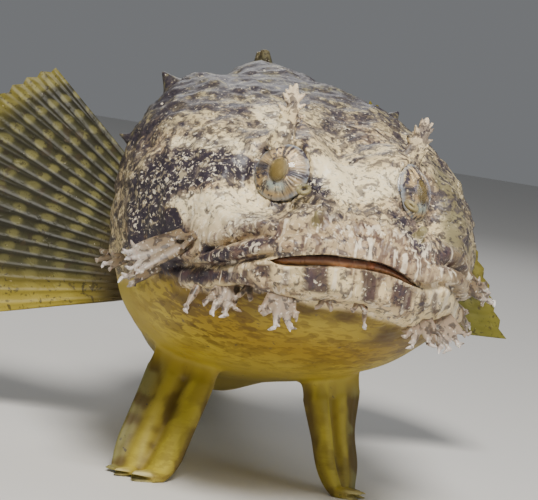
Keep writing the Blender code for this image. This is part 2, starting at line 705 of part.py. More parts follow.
def join(obj, name, makers, scrap):
    """Unites the pieces that grow from a node with it, then drops them."""
    pieces = bpy.data.collections.new(name)
    scrap.children.link(pieces)
    for maker in makers:
        maker(pieces)
    apply_boolean(obj, pieces, "UNION")
    for piece in list(pieces.objects):
        bpy.data.objects.remove(piece)
    bpy.data.collections.remove(pieces)


def fin_slab(name, point, collection, columns, high, thick):
    """A fin: point(u, v) is its middle surface, thick(u, v) its half thickness, in a closed slab."""
    points, faces = [], []
    for way in (1, -1):
        for i in range(columns + 1):
            for j in range(high + 1):
                u, v = i / columns, j / high
                here = Vector(point(u, v))
                du = Vector(point(min(u + 0.01, 1), v)) - Vector(point(max(u - 0.01, 0), v))
                dv = Vector(point(u, min(v + 0.01, 1))) - Vector(point(u, max(v - 0.01, 0)))
                normal = du.cross(dv).normalized()
                here += normal * way * thick(u, v)
                here.z = max(here.z, 0.0)
                points.append(here)
    high_count = high + 1
    half = (columns + 1) * high_count
    for i in range(columns):
        for j in range(high):
            a = i * high_count + j
            b = a + high_count
            faces.append((a, b, b + 1))
            faces.append((a, b + 1, a + 1))
            faces.append((half + b + 1, half + b, half + a))
            faces.append((half + a + 1, half + b + 1, half + a))
    edge = [(i, 0) for i in range(columns)] + [(columns, j) for j in range(high)]
    edge += [(i, high) for i in range(columns, 0, -1)] + [(0, j) for j in range(high, 0, -1)]
    ids = [i * high_count + j for i, j in edge]
    for k in range(len(ids)):
        a, b = ids[k], ids[(k + 1) % len(ids)]
        faces.append((a, b, half + b))
        faces.append((a, half + b, half + a))
    return mesh_object(name, points, faces, collection)


def ray_bumps(u, count, deep, web):
    """Half thickness over a fin with evenly spread rays: thick on a ray, thin between."""
    phase = (u * count) % 1.0
    return web + (deep - web) * (1 - abs(2 * phase - 1)) ** 1.2


PECTORAL_RAYS = 18
PECTORAL_LENGTH = 49.0
# Each pectoral: how far its lowest and highest rays sweep back and rise, in degrees.
PECTORAL_LIE = {-1: {"sweep": (8.0, 24.0), "rise": (-14.0, 41.0)}, 1: {"sweep": (9.0, 58.0), "rise": (0.0, 50.0)}}


def pectoral_point(side):
    """The middle surface of a pectoral fin: a cupped fan from the side of the body."""
    lie = PECTORAL_LIE[side]

    def point(u, v):
        root = Vector(placed(np.array(92.0 + 2 * (1 - u)), np.array(side * 18.0), np.array(34.0 + 20.0 * u)))
        sweep = math.radians(lie["sweep"][0] + (lie["sweep"][1] - lie["sweep"][0]) * max(u, 0) ** 0.75)
        rise = math.radians(lie["rise"][0] + (lie["rise"][1] - lie["rise"][0]) * u)
        way = Vector((side * math.cos(sweep) * math.cos(rise), math.sin(sweep) * math.cos(rise), math.sin(rise)))
        middle = max(math.sin(math.pi * min(max(u, 0), 1)), 0)
        reach = (PECTORAL_LENGTH * (0.96 + 0.08 * middle ** 0.8 - 0.28 * u * u) + 11.0) * v
        cup = 4.0 * middle * v * v
        scallop = 1.0 - 0.022 * v * (1 - abs(2 * ((u * PECTORAL_RAYS) % 1) - 1))
        return root + way * reach * scallop + Vector((0, -cup, 0))

    return point


def pectoral_fin(name, side, collection):
    def thick(u, v):
        fleshy = 1.6 * (1 - min(v / 0.42, 1)) ** 1.4
        return 0.5 * (0.66 + 0.5 * (1 - v)) * ray_bumps(u, PECTORAL_RAYS, 1.5, 0.75) + fleshy

    return fin_slab(name, pectoral_point(side), collection, PECTORAL_RAYS * 2, 5, thick)


def along_back(s, z, side=0.0):
    return Vector(placed(np.array(float(s)), np.array(float(side)), np.array(float(z))))


SOFT_DORSAL = (113.0, 222.0)
SOFT_DORSAL_HEIGHT = 15.0
SOFT_DORSAL_RAYS = 24
SOFT_DORSAL_LEAN = 0.45
SOFT_DORSAL_WAVE = 1.6    # how far its edge sways from side to side


def soft_dorsal_fin(name, collection):
    """The long fin along the back, its rays leaning towards the tail."""
    start, end = SOFT_DORSAL

    def point(u, v):
        s = start + (end - start) * u
        ends = min(u / 0.08, (1 - u) / 0.05, 1.0)
        tall = SOFT_DORSAL_HEIGHT * (0.35 + 0.65 * math.sin(min(ends, 1) * math.pi / 2))
        z = float(top(s)) - 2.5
        sway = SOFT_DORSAL_WAVE * math.sin(u * 2 * math.pi * 2.2) * v
        return along_back(s + SOFT_DORSAL_LEAN * tall * v, z + (tall + 2.5) * v, sway)

    return fin_slab(name, point, collection, SOFT_DORSAL_RAYS * 2, 3,
                    lambda u, v: 0.5 * ray_bumps(u, SOFT_DORSAL_RAYS, 1.7, 0.8) * (1 - 0.4 * v) + 0.5 * (1 - v))


SPINY_DORSAL = (96.0, 109.0)   # start and end behind the snout
SPINES = 3


def spiny_dorsal(name, collection):
    """Three short spines wrapped in thick skin."""
    start, end = SPINY_DORSAL

    def point(u, v):
        s = start + (end - start) * u
        peak = 0.62 + 0.38 * abs(math.sin(math.pi * (u * SPINES)))
        tall = 4.6 * peak * (1 - 0.35 * abs(2 * u - 0.8))
        return along_back(s + 5.0 * v, float(top(s)) - 1.0 + (tall + 3.4) * v)

    return fin_slab(name, point, collection, 12, 3,
                    lambda u, v: 0.5 * ray_bumps(u, SPINES, 3.6, 2.4) * (1 - 0.5 * v) + 1.2 * (1 - v))


ANAL_FIN = (148.0, 219.0)
ANAL_RAYS = 18


def anal_fin(name, collection):
    """A low fin under the tail, its edge on the floor."""
    start, end = ANAL_FIN

    def point(u, v):
        s = start + (end - start) * u
        ends = max(min(u / 0.12, (1 - u) / 0.06, 1.0), 0.0)
        low = float(belly(s))
        tall = (low + 0.12) * (0.3 + 0.7 * math.sin(ends * math.pi / 2))
        sway = -3.0 * v * v * math.sin(math.pi * u)
        return along_back(s + 0.5 * tall * v, low + 2.2 - (tall + 2.2) * v, sway)

    return fin_slab(name, point, collection, ANAL_RAYS * 2, 3,
                    lambda u, v: 0.5 * ray_bumps(u, ANAL_RAYS, 1.7, 0.9) * (1 - 0.2 * v) + 0.4 * (1 - v))


CAUDAL_LENGTH = 34.0
CAUDAL_RAYS = 14
CAUDAL_SPREAD = 30        # degrees above and below the middle


def caudal_fin(name, collection):
    """The rounded tail fin, its lower corner on the floor."""

    def point(u, v):
        spread = 2 * u - 1
        angle = math.radians(CAUDAL_SPREAD * spread)
        z0 = 17.5 + 6.6 * spread
        reach = 3.0 + CAUDAL_LENGTH * (0.78 + 0.22 * math.cos(spread * 1.4)) * v
        s = STANDARD_LENGTH - 3.0 + reach * math.cos(angle)
        z = z0 + reach * math.sin(angle) * (0.92 if spread > 0 else 0.70)
        return along_back(s, max(z, -0.1), 1.6 * math.sin(v * 2.6) * v)

    return fin_slab(name, point, collection, CAUDAL_RAYS * 2, 5,
                    lambda u, v: 0.5 * ray_bumps(u, CAUDAL_RAYS, 1.6, 0.8) * (1 - 0.3 * v) + 1.2 * (1 - v) ** 2)


FOOT_RISE = 0.9           # height of the middle of a foot
LIMB_WIDTH = 15.5
LIMB_TAPER = 3.4          # how much narrower the foot is
LIMB_ROOT = Vector((0, 3.0, 14.0))   # how the limb runs on inside the body, up from its root
# Each pelvic fin: where its root's middle and its tip lie, as (side, y, z), and how much wider its web is.
PELVIC = {
    -1: {"root": (16.8, 62.0, 26.0), "knee": (21.6, 56.5, 13.0), "foot": (27.6, 48.5, FOOT_RISE),
         "toe": (32.5, 45.0, FOOT_RISE), "web": -0.5},
    1: {"root": (16.5, 62.0, 26.0), "knee": (17.6, 56.5, 13.0), "foot": (20.4, 50.5, FOOT_RISE),
        "toe": (24.5, 47.0, FOOT_RISE), "web": -4.6},
}


def pelvic_path(side, t):
    """The middle of the limb at t from 0 at its root to 1 at its toe."""
    spots = [Vector(p) for p in (PELVIC[side][k] for k in ("root", "knee", "foot", "toe"))]
    ends = (0.0, 0.42, 0.82, 1.0)
    for k in range(3):
        if t <= ends[k + 1] or k == 2:
            f = (t - ends[k]) / (ends[k + 1] - ends[k])
            before = spots[max(k - 1, 0)]
            after = spots[min(k + 2, 3)]
            m0, m1 = (spots[k + 1] - before) / 2, (after - spots[k]) / 2
            if k == 0:
                m0 = spots[1] - spots[0]
            if k == 2:
                m1 = spots[3] - spots[2]
            h = (2 * f ** 3 - 3 * f * f + 1, f ** 3 - 2 * f * f + f, -2 * f ** 3 + 3 * f * f, f ** 3 - f * f)
            place = spots[k] * h[0] + m0 * h[1] + spots[k + 1] * h[2] + m1 * h[3]
            break
    return Vector((side * place.x - ORIGIN_X, place.y - ORIGIN_Y, max(place.z, FOOT_RISE)))


def limb_profile(count):
    """Across the limb from the body's middle outward: place from -0.5 to 0.5, and half thickness."""
    ridge = []
    for k in range(count + 1):
        a = k / count
        lead = 2.5 * math.sqrt(max(1 - ((a - 0.20) / 0.21) ** 2, 0))
        second = 1.5 * math.sqrt(max(1 - ((a - 0.62) / 0.15) ** 2, 0))
        ridge.append((a - 0.5, max(lead, second, 0.65)))
    return ridge


def pelvic_fin(name, side, collection, steps=13, across=10):
    """A limb of a thick leading ray, a groove and a web with a second ray, ending in a flat foot."""
    points, faces = [], []
    ridge = limb_profile(across)
    for i in range(steps + 1):
        t = -0.10 + 1.10 * i / steps
        here = pelvic_path(side, max(t, 0)) - LIMB_ROOT * min(t, 0)
        run = pelvic_path(side, min(t + 0.02, 1)) - pelvic_path(side, max(t - 0.02, 0))
        run.normalize()
        outward = Vector((side, 0.25, 0.0))
        outward = (outward - run * outward.dot(run)).normalized()
        flat = smoothed(t, 0.55, 0.9)
        outward = (outward * (1 - flat) + Vector((side * 0.75, 0.66, 0)) * flat).normalized()
        face = run.cross(outward).normalized() * side
        if face.y > 0:
            face = -face
        face = (face * (1 - flat) + Vector((0, 0, 1)) * flat).normalized()
        width = LIMB_WIDTH + PELVIC[side]["web"] * smoothed(t, 0.05, 0.5) - LIMB_TAPER * smoothed(t, 0.6, 1.0)
        thin = 1.12 - 0.62 * smoothed(t, 0.3, 1.0)
        loop = [here + outward * a * width + face * half * thin for a, half in ridge]
        loop += [here + outward * a * width - face * half * thin for a, half in reversed(ridge)]
        for p in loop:
            p.z = max(p.z, 0.0)
            points.append(p)
    around = 2 * (across + 1)
    for i in range(steps):
        for j in range(around):
            k = (j + 1) % around
            near, far = (i * around + j, i * around + k), ((i + 1) * around + j, (i + 1) * around + k)
            if j <= across:
                faces += [(near[0], near[1], far[1]), (near[0], far[1], far[0])]
            else:
                faces += [(near[0], near[1], far[0]), (near[1], far[1], far[0])]
    faces.append(tuple(range(around - 1, -1, -1)))
    faces.append(tuple(range(steps * around, (steps + 1) * around)))
    return mesh_object(name, points, faces, collection)


def smoothed(value, low, high):
    return float(smooth(np.array(value), low, high))


def finish(obj, colour):
    obj.data.materials.clear()
    obj.data.materials.append(material(f"{obj.name}_surface", colour, ROUGHNESS))
    obj.data.shade_smooth()
    obj.data.set_sharp_from_angle(angle=math.radians(50))


def main():
    for obj in list(bpy.data.objects):
        bpy.data.objects.remove(obj)
    fish = bpy.data.collections.new("gulf_toadfish")
    cutters = bpy.data.collections.new("cutters")
    for collection in (fish, cutters):
        bpy.context.scene.collection.children.link(collection)

    nodes = {}
    for name in regions(0.0):
        node = whole_body(name, fish)
        box = region_solid(name, cutters)
        apply_boolean(node, box, "INTERSECT")
        keep_largest(node)
        bpy.data.objects.remove(box)
        nodes[name] = node

    join(nodes["head"], "head_pieces", (lids, nostrils, tentacle_bosses, gill_spines, cheek_flaps), cutters)
    join(nodes["lower_jaw"], "jaw_pieces", (chin_flaps,), cutters)
    for side, word in ((-1, "right"), (1, "left")):
        axis = eye_axis(side)
        centre = eye_centre(side)
        socket = sphere("socket", centre, EYE_RADIUS + GAP, axis, cutters)
        window = cone("window", centre, centre + axis * WINDOW[0], WINDOW[1], WINDOW[2], cutters, 20)
        for cutter in (socket, window):
            apply_boolean(nodes["head"], cutter, "DIFFERENCE")
            bpy.data.objects.remove(cutter)
        nodes["eye_" + word] = sphere("eye_" + word, centre, EYE_RADIUS, axis, fish)
    keep_largest(nodes["head"])
    keep_largest(nodes["lower_jaw"])

    shell = whole_body("shell", cutters, GAP)
    nodes["pectoral_fin_right"] = pectoral_fin("pectoral_fin_right", -1, fish)
    nodes["pectoral_fin_left"] = pectoral_fin("pectoral_fin_left", 1, fish)
    nodes["pelvic_fin_right"] = pelvic_fin("pelvic_fin_right", -1, fish)
    nodes["pelvic_fin_left"] = pelvic_fin("pelvic_fin_left", 1, fish)
    nodes["spiny_dorsal_fin"] = spiny_dorsal("spiny_dorsal_fin", fish)
    nodes["soft_dorsal_fin"] = soft_dorsal_fin("soft_dorsal_fin", fish)
    nodes["anal_fin"] = anal_fin("anal_fin", fish)
    nodes["caudal_fin"] = caudal_fin("caudal_fin", fish)
    for side, word in ((-1, "right"), (1, "left")):
        root, lie = tentacle_root(side)
        leaf = flap("eye_tentacle_" + word, root + lie * GAP, lie, Vector((side * 0.3, -1, 0.1)),
                    tentacle_outline(), TENTACLE_HEIGHT, fish, thick=1.5, curl=0.04)
        nodes[leaf.name] = leaf
    for name in [n for n in nodes if "_fin" in n]:
        apply_boolean(nodes[name], shell, "DIFFERENCE")
        keep_largest(nodes[name])
    bpy.data.objects.remove(shell)

    colours = {"throat": THROAT, "torso": BACK, "tail_front": BACK, "tail_rear": BACK,
               "eye_right": AMBER, "eye_left": AMBER, "eye_tentacle_right": FLAP, "eye_tentacle_left": FLAP,
               "pelvic_fin_right": LEG, "pelvic_fin_left": LEG}
    for name, node in nodes.items():
        finish(node, colours.get(name, FIN if "_fin" in name else SKIN))


main()
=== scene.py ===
"""Gulf toadfish, life size: skin, fins, leaves of skin and eyes over its solid frame, on a plain floor.

The fish faces -Y on the floor z = 0, and its right side is -X. Shapes are worked out in millimetres.
"""
import math
import random

import bmesh
import bpy
import numpy as np
from mathutils import Matrix, Vector
from mathutils.bvhtree import BVHTree
from mathutils.kdtree import KDTree


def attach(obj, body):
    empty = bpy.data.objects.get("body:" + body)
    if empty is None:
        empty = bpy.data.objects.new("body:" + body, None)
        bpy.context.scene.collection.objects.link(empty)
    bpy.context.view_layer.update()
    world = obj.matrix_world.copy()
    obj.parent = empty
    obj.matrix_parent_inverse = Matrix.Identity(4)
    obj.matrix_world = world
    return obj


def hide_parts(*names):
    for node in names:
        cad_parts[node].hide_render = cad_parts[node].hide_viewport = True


MM = 0.001
STANDARD_LENGTH = 230.0   # snout to the root of the tail fin
BEND_START = 82.0         # where the body starts to curve to its left
BEND_END = 215.0
BEND_ANGLE = 27.0
ORIGIN_Y = 126.6          # behind the snout, and ORIGIN_X to the left: under the middle of the whole fish
ORIGIN_X = -0.5

# Behind the snout: half width, top, belly, height of the widest line, height of the mouth line
# (then of the lower edge of the cheek), and squareness of the section.
BODY = (
    (0.0, 0.0, 56.5, 56.5, 56.5, 56.5, 1.00),
    (1.5, 8.6, 60.2, 53.2, 56.5, 56.2, 0.98),
    (4.0, 14.2, 62.8, 49.4, 56.0, 55.4, 0.96),
    (9.0, 20.6, 66.0, 44.8, 55.2, 53.0, 0.95),
    (16.0, 25.8, 69.6, 40.2, 55.0, 50.3, 0.93),
    (25.0, 30.4, 74.0, 35.4, 56.0, 48.2, 0.88),
    (36.0, 34.6, 79.2, 30.6, 57.0, 46.2, 0.82),
    (49.0, 37.6, 84.0, 26.2, 58.5, 43.5, 0.78),
    (62.0, 38.4, 87.6, 22.6, 59.5, 41.5, 0.77),
    (76.0, 35.4, 89.6, 19.4, 60.0, 40.5, 0.80),
    (90.0, 30.4, 90.6, 16.8, 58.0, 38.0, 0.88),
    (105.0, 26.4, 87.6, 14.6, 52.0, 36.0, 0.96),
    (120.0, 22.4, 77.6, 12.6, 45.0, 33.0, 0.96),
    (135.0, 18.8, 65.8, 11.0, 38.0, 29.0, 0.96),
    (150.0, 15.4, 55.4, 10.0, 31.5, 25.5, 0.97),
    (170.0, 11.6, 44.0, 9.2, 25.5, 21.0, 1.00),
    (190.0, 8.4, 35.4, 8.8, 21.6, 18.0, 1.00),
    (210.0, 5.8, 29.2, 8.8, 19.0, 16.0, 1.00),
    (230.0, 4.0, 25.8, 9.2, 17.5, 14.0, 1.00),
)
MOUTH_CORNER = 28.0
MOUTH_DROOP = 3.0         # how far the mouth hangs lower on the left of its middle
# The open lips: place to the left of the midline, and how far the mouth opens above and below its line.
GAPE = ((-18.8, 0.0, 0.0), (-17.2, 0.1, 1.3), (-15.6, 0.2, 1.9), (-12.9, 0.4, 2.1), (-8.4, 0.7, 1.9),
        (-1.5, 0.7, 1.6), (3.0, 0.6, 1.4), (6.1, 0.5, 1.1), (9.0, 0.5, 0.6), (12.0, 0.0, 0.0))
GAPE_DEPTH = 8.0

EYE = (12.1, 24.8, 69.2)  # centre of the left eyeball
EYE_RADIUS = 6.6
EYE_TURN = 43.0           # degrees outward from straight ahead
EYE_RISE = 17.0           # degrees upward
LID_RADIUS = 6.0
LID_REACH = 14.0          # from the eye's axis, where the skin round it is at its own level again
PUPIL = (2.0, 2.55)       # half width and half height

# The view of the photograph: turn and tilt round the fish, roll, distance and focal length in pixels.
VIEW_TURN = -18.459
VIEW_TILT = 5.0
VIEW_ROLL = 9.603
VIEW_DISTANCE = 400.0
VIEW_FOCAL = 1968.889
VIEW_SHIFT = (66.749, 32.016)
VIEW_TARGET = (0.0, 20.0, 50.0)   # side, behind the snout, height
PICTURE = (538, 500)


def smooth(value, low, high):
    """0 below low, 1 above high, with an S between."""
    t = np.clip((value - low) / (high - low), 0.0, 1.0)
    return t * t * (3 - 2 * t)


def smoothed(value, low, high):
    """The same for one number."""
    return float(smooth(np.array(value), low, high))


def hump(distance, width):
    """1 at no distance, falling away over width."""
    return np.exp(-((distance / width) ** 2))


def tone(red, green, blue):
    """A colour named by its screen values, 0 to 255, as the shaders take it."""
    made = []
    for level in (red, green, blue):
        c = level / 255
        made.append(c / 12.92 if c <= 0.04045 else ((c + 0.055) / 1.055) ** 2.4)
    return tuple(made)


def curve_through(table, column):
    """A monotone cubic through one column of a table, in the square root of its first column."""
    x = np.sqrt(np.array([row[0] for row in table]))
    y = np.array([row[column] for row in table])
    step = np.diff(x)
    slope = np.diff(y) / step
    inner = np.where(slope[:-1] * slope[1:] > 0,
                     2 * slope[:-1] * slope[1:] / (slope[:-1] + slope[1:] + 1e-12), 0.0)
    tangent = np.concatenate([[slope[0]], inner, [slope[-1]]])

    def value(at):
        u = np.sqrt(np.clip(at, 0, table[-1][0]))
        k = np.clip(np.searchsorted(x, u, side="right") - 1, 0, len(step) - 1)
        t = (u - x[k]) / step[k]
        return ((1 + 2 * t) * (1 - t) ** 2 * y[k] + t * (1 - t) ** 2 * step[k] * tangent[k]
                + t * t * (3 - 2 * t) * y[k + 1] + t * t * (t - 1) * step[k] * tangent[k + 1])

    return value


half_width, top, belly, wide_at, mouth_at, squareness = (curve_through(BODY, k) for k in range(1, 7))


def spine():
    """The run of the body in plan: places and headings at each half millimetre behind the snout."""
    s = np.arange(0.0, STANDARD_LENGTH + 60.5, 0.5)
    turn = np.radians(BEND_ANGLE) * smooth(s, BEND_START, BEND_END)
    x = np.concatenate([[0], np.cumsum(np.sin(turn[:-1]) * 0.5)])
    y = np.concatenate([[0], np.cumsum(np.cos(turn[:-1]) * 0.5)])
    return s, x, y, turn


SPINE = spine()


def placed(s, side, z):
    """A point at s along the body, side millimetres to its left of the midline, at height z."""
    at, x, y, turn = SPINE
    mid_x = np.interp(s, at, x)
    mid_y = np.interp(s, at, y) + np.minimum(s, 0)
    angle = np.interp(s, at, turn)
    return np.stack([mid_x + side * np.cos(angle) - ORIGIN_X,
                     mid_y - side * np.sin(angle) - ORIGIN_Y, z + 0 * side], -1)


def unplaced(points):
    """The s and side of each point: the inverse of placed, by the nearest point of the run."""
    at, x, y, turn = SPINE
    px, py = points[:, 0] + ORIGIN_X, points[:, 1] + ORIGIN_Y
    s = np.where(py < BEND_START, py, 0.0)
    side = px.copy()
    far = np.where(py >= BEND_START)[0]
    for part in np.array_split(far, max(len(far) // 20000, 1)):
        gap = (px[part, None] - x[None, :]) ** 2 + (py[part, None] - y[None, :]) ** 2
        k = np.argmin(gap, axis=1)
        s[part] = at[k]
        side[part] = (px[part] - x[k]) * np.cos(turn[k]) - (py[part] - y[k]) * np.sin(turn[k])
    return s, side


def section(s, angle):
    """Side and height of the plain body outline at s, at an angle up from its widest line."""
    e = squareness(s)
    rise = np.sin(angle)
    tall = np.where(rise > 0, top(s) - wide_at(s), wide_at(s) - belly(s))
    side = half_width(s) * np.abs(np.cos(angle)) ** e
    return side, wide_at(s) + tall * np.sign(rise) * np.abs(rise) ** e


def mouth_angle(s):
    """The angle in the section where the mouth line, or the lower edge of the cheek, runs."""
    drop = (mouth_at(s) - wide_at(s)) / np.maximum(wide_at(s) - belly(s), 1e-3)
    return np.arcsin(-np.clip(-drop, 0, 1) ** (1 / squareness(s)))


def grain(points, size, seed):
    """Smooth noise from -1 to 1 over points in millimetres, in lumps of about this size."""
    table = np.random.default_rng(seed).uniform(-1, 1, 4096)
    p = points / size
    base = np.floor(p).astype(np.int64)
    f = p - base
    f = f * f * (3 - 2 * f)
    total = np.zeros(p.shape[:-1])
    for dx in (0, 1):
        for dy in (0, 1):
            for dz in (0, 1):
                key = ((base[..., 0] + dx) * 73856093 ^ (base[..., 1] + dy) * 19349663
                       ^ (base[..., 2] + dz) * 83492791) % 4096
                weight = (np.where(dx, f[..., 0], 1 - f[..., 0]) * np.where(dy, f[..., 1], 1 - f[..., 1])
                          * np.where(dz, f[..., 2], 1 - f[..., 2]))
                total += weight * table[key]
    return total


# ---- folds of the skin ----


def mouth_droop(side):
    """How much lower the mouth line runs at this distance to the left of the midline."""
    return -MOUTH_DROOP * hump(side - 12.5, 6.5)


def lip_edge(s):
    """How far below the mouth line the lower lip ends."""
    return 6.6 - 3.6 * smooth(s, 6, 14)


def relief(s, side, z):
    """How far the skin stands out from the plain outline, from the folds of the face."""
    lips = 1 - smooth(s, MOUTH_CORNER - 5, MOUTH_CORNER + 5)
    face = 1 - smooth(s, 50, 80)
    from_mouth = z - mouth_at(s) - mouth_droop(side)
    beside = smooth(np.abs(side), 10, 18)
    out = lips * (1.1 + 0.6 * beside) * hump(from_mouth - 2.4, 2.2)
    out += lips * 2.2 * hump(from_mouth + 0.5 * (lip_edge(s) + 1.5), 0.62 * lip_edge(s))
    out -= lips * 1.1 * beside * hump(from_mouth - 6.4 + 2.6 * smooth(s, 8, 22), 1.3)
    out -= lips * 1.3 * hump(from_mouth + lip_edge(s) + 0.9, 1.1)
    across = np.abs(side) - EYE[0] - 0.5
    orbit = np.sqrt(across ** 2 + (s - EYE[1] - 3.5) ** 2 + (z - EYE[2] - 4.5) ** 2)
    out += 2.0 * hump(orbit, 8.0)
    out -= 1.6 * hump(side, 5.5) * hump(s - 31, 12) * smooth(z, 70, 78)
    out -= 1.3 * hump(side, 1.5) * hump(s - 11, 5) * smooth(z, 62, 68)
    out += face * 1.4 * hump(z - 52, 9) * hump(s - 46, 14)
    out -= 1.2 * face * hump(from_mouth, 3.0) * smooth(s, MOUTH_CORNER, MOUTH_CORNER + 8)
    out += 2.8 * hump(side, 8.5) * hump(s - 98, 13)
    out -= 1.8 * hump(side + 13, 5) * hump(s - 88, 14)
    out += 1.6 * hump(side + 23, 6) * hump(s - 78, 10) * smooth(z, 76, 84)
    out -= 2.4 * hump(side - 30, 9) * hump(s - 80, 22) * smooth(z, 66, 78)
    return out


def wrinkles(spot, size, seed):
    """Ridged noise: thin raised lines with hollows between, 0 to 1."""
    return 1 - np.abs(grain(spot, size, seed)) * 2.0


def fine_relief(s, side, z):
    """The creases, papillae and small lumps of the skin."""
    lips = 1 - smooth(s, MOUTH_CORNER - 2, MOUTH_CORNER + 8)
    spot = np.stack([side, s, z], -1)
    from_mouth = z - mouth_at(s) - mouth_droop(side)
    # The closed line of the mouth beyond its gape, and the fold over the upper lip.
    spots, above, below = zip(*GAPE)
    closed = 1 - smooth(np.interp(side, spots, np.add(above, below)), 0.0, 0.5)
    out = -1.5 * lips * hump(from_mouth, 0.6) * closed
    fold = 5.2 - 4.4 * smooth(s, 12, 28)
    beside = smooth(np.abs(side), 13, 20)
    out -= 1.3 * lips * hump(from_mouth - fold, 0.75) * beside
    out += 0.8 * lips * hump(from_mouth - fold - 1.9, 1.3) * beside
    # Fine upright pleats of both lips.
    turn = np.arctan2(side, s + 6.0)
    pleat = (np.sin(turn * 95 + 2.5 * grain(spot, 5.0, 3)) * 0.5
             + np.sin(turn * 57 + 4.0 * grain(spot, 7.0, 4)) * 0.5)
    band = smooth(from_mouth, 0.4, 1.6) * (1 - smooth(from_mouth, 7, 13))
    band += smooth(-from_mouth, 0.6, 1.8) * (1 - smooth(-from_mouth, lip_edge(s) - 0.8, lip_edge(s) + 0.2))
    out += 0.24 * lips * band * pleat
    # Upright wrinkles of the muzzle, and coarse folds of the brow.
    muzzle = (lips * smooth(from_mouth, 6, 10) * (1 - smooth(from_mouth, 14, 22))
              * (1 - smooth(np.abs(side), 10, 16)))
    out += 0.34 * muzzle * np.sin(side * 2.6 + 2.2 * grain(spot, 4.0, 5))
    # Lids, drawn up into a soft rim, with creases behind them.
    for height, width, at in ((0.7, 0.8, LID_RADIUS + 0.7), (-0.35, 1.0, LID_RADIUS + 2.8),
                              (0.3, 1.2, LID_RADIUS + 5.0)):
        out += height * hump(from_eye(side, s, z) - at, width)
    # The slit in front of the pectoral fin where the gill cover ends.
    edge = s - (83.5 + 4.5 * hump(z - 60, 16) + 0.4 * grain(spot, 6, 9))
    out += smooth(z, 34, 42) * (1 - smooth(z, 74, 82)) * (0.9 * hump(edge + 2.6, 2.2) - 1.5 * hump(edge, 0.9))
    # Lumps and wrinkles over the head and back, none on the smooth throat.
    rough = smooth(from_mouth, -7.5, -5.0) * (1 - 0.45 * smooth(s, 90, 140))
    rough = np.where(s > MOUTH_CORNER, smooth(z, 36, 48) * (1 - 0.45 * smooth(s, 90, 140)), rough)
    out += rough * (0.46 * grain(spot, 6.5, 10) + 0.42 * grain(spot, 3.4, 11) + 0.30 * grain(spot, 1.9, 12)
                    + 0.22 * grain(spot, 1.1, 13) + 0.40 * (wrinkles(spot, 4.4, 15) - 0.5)
                    * smooth(s, 12, 30))
    out += (1 - rough) * 0.14 * grain(spot, 6.0, 14)
    return out


def eye_axis(side):
    """The way an eye looks: side is 1 for the left eye and -1 for the right."""
    turn, rise = math.radians(EYE_TURN), math.radians(EYE_RISE)
    return Vector((side * math.sin(turn) * math.cos(rise), -math.cos(turn) * math.cos(rise), math.sin(rise)))


def eye_centre(side):
    """The middle of an eyeball."""
    return Vector((side * EYE[0] - ORIGIN_X, EYE[1] - ORIGIN_Y, EYE[2]))


def from_eye(side, s, z):
    """Distance from the axis of the nearer eye, large where the axis comes out behind the head."""
    axis = eye_axis(1)
    dx, dy, dz = np.abs(side) - EYE[0], s - EYE[1], z - EYE[2]
    along = dx * axis.x + dy * axis.y + dz * axis.z
    radial = np.sqrt(np.maximum(dx * dx + dy * dy + dz * dz - along * along, 0))
    return np.where(along < -6, 99.0, radial)


def settle_round_eye(side, station, z):
    """Brings the skin round the eye into the plane of its lids."""
    axis = eye_axis(1)
    dx, dy, dz = side - EYE[0], station - EYE[1], z - EYE[2]
    along = dx * axis.x + dy * axis.y + dz * axis.z
    radial = np.sqrt(np.maximum(dx * dx + dy * dy + dz * dz - along * along, 0))
    off = along - math.sqrt(EYE_RADIUS ** 2 - LID_RADIUS ** 2)
    pull = (1 - smooth(radial, LID_RADIUS + 0.5, LID_REACH)) * (1 - smooth(np.abs(off), 9, 13))
    pull *= smooth(side, 0.0, 4.0)
    return side - axis.x * off * pull, station - axis.y * off * pull, z - axis.z * off * pull


FACE_END = 30.0           # behind the snout, where the rings of the face stop crowding
HEAD_END = 92.0           # and where those of the head end


def stations(face, head, body):
    """Distances behind the snout, closest together at the lips."""
    near = FACE_END * (1 - np.cos(np.linspace(0, math.pi / 2, face + 1)[1:] ** 1.02))
    mid = np.linspace(near[-1], HEAD_END, head + 1)[1:]
    far = np.linspace(HEAD_END, STANDARD_LENGTH, body + 1)[1:]
    return np.concatenate([near, mid, far])


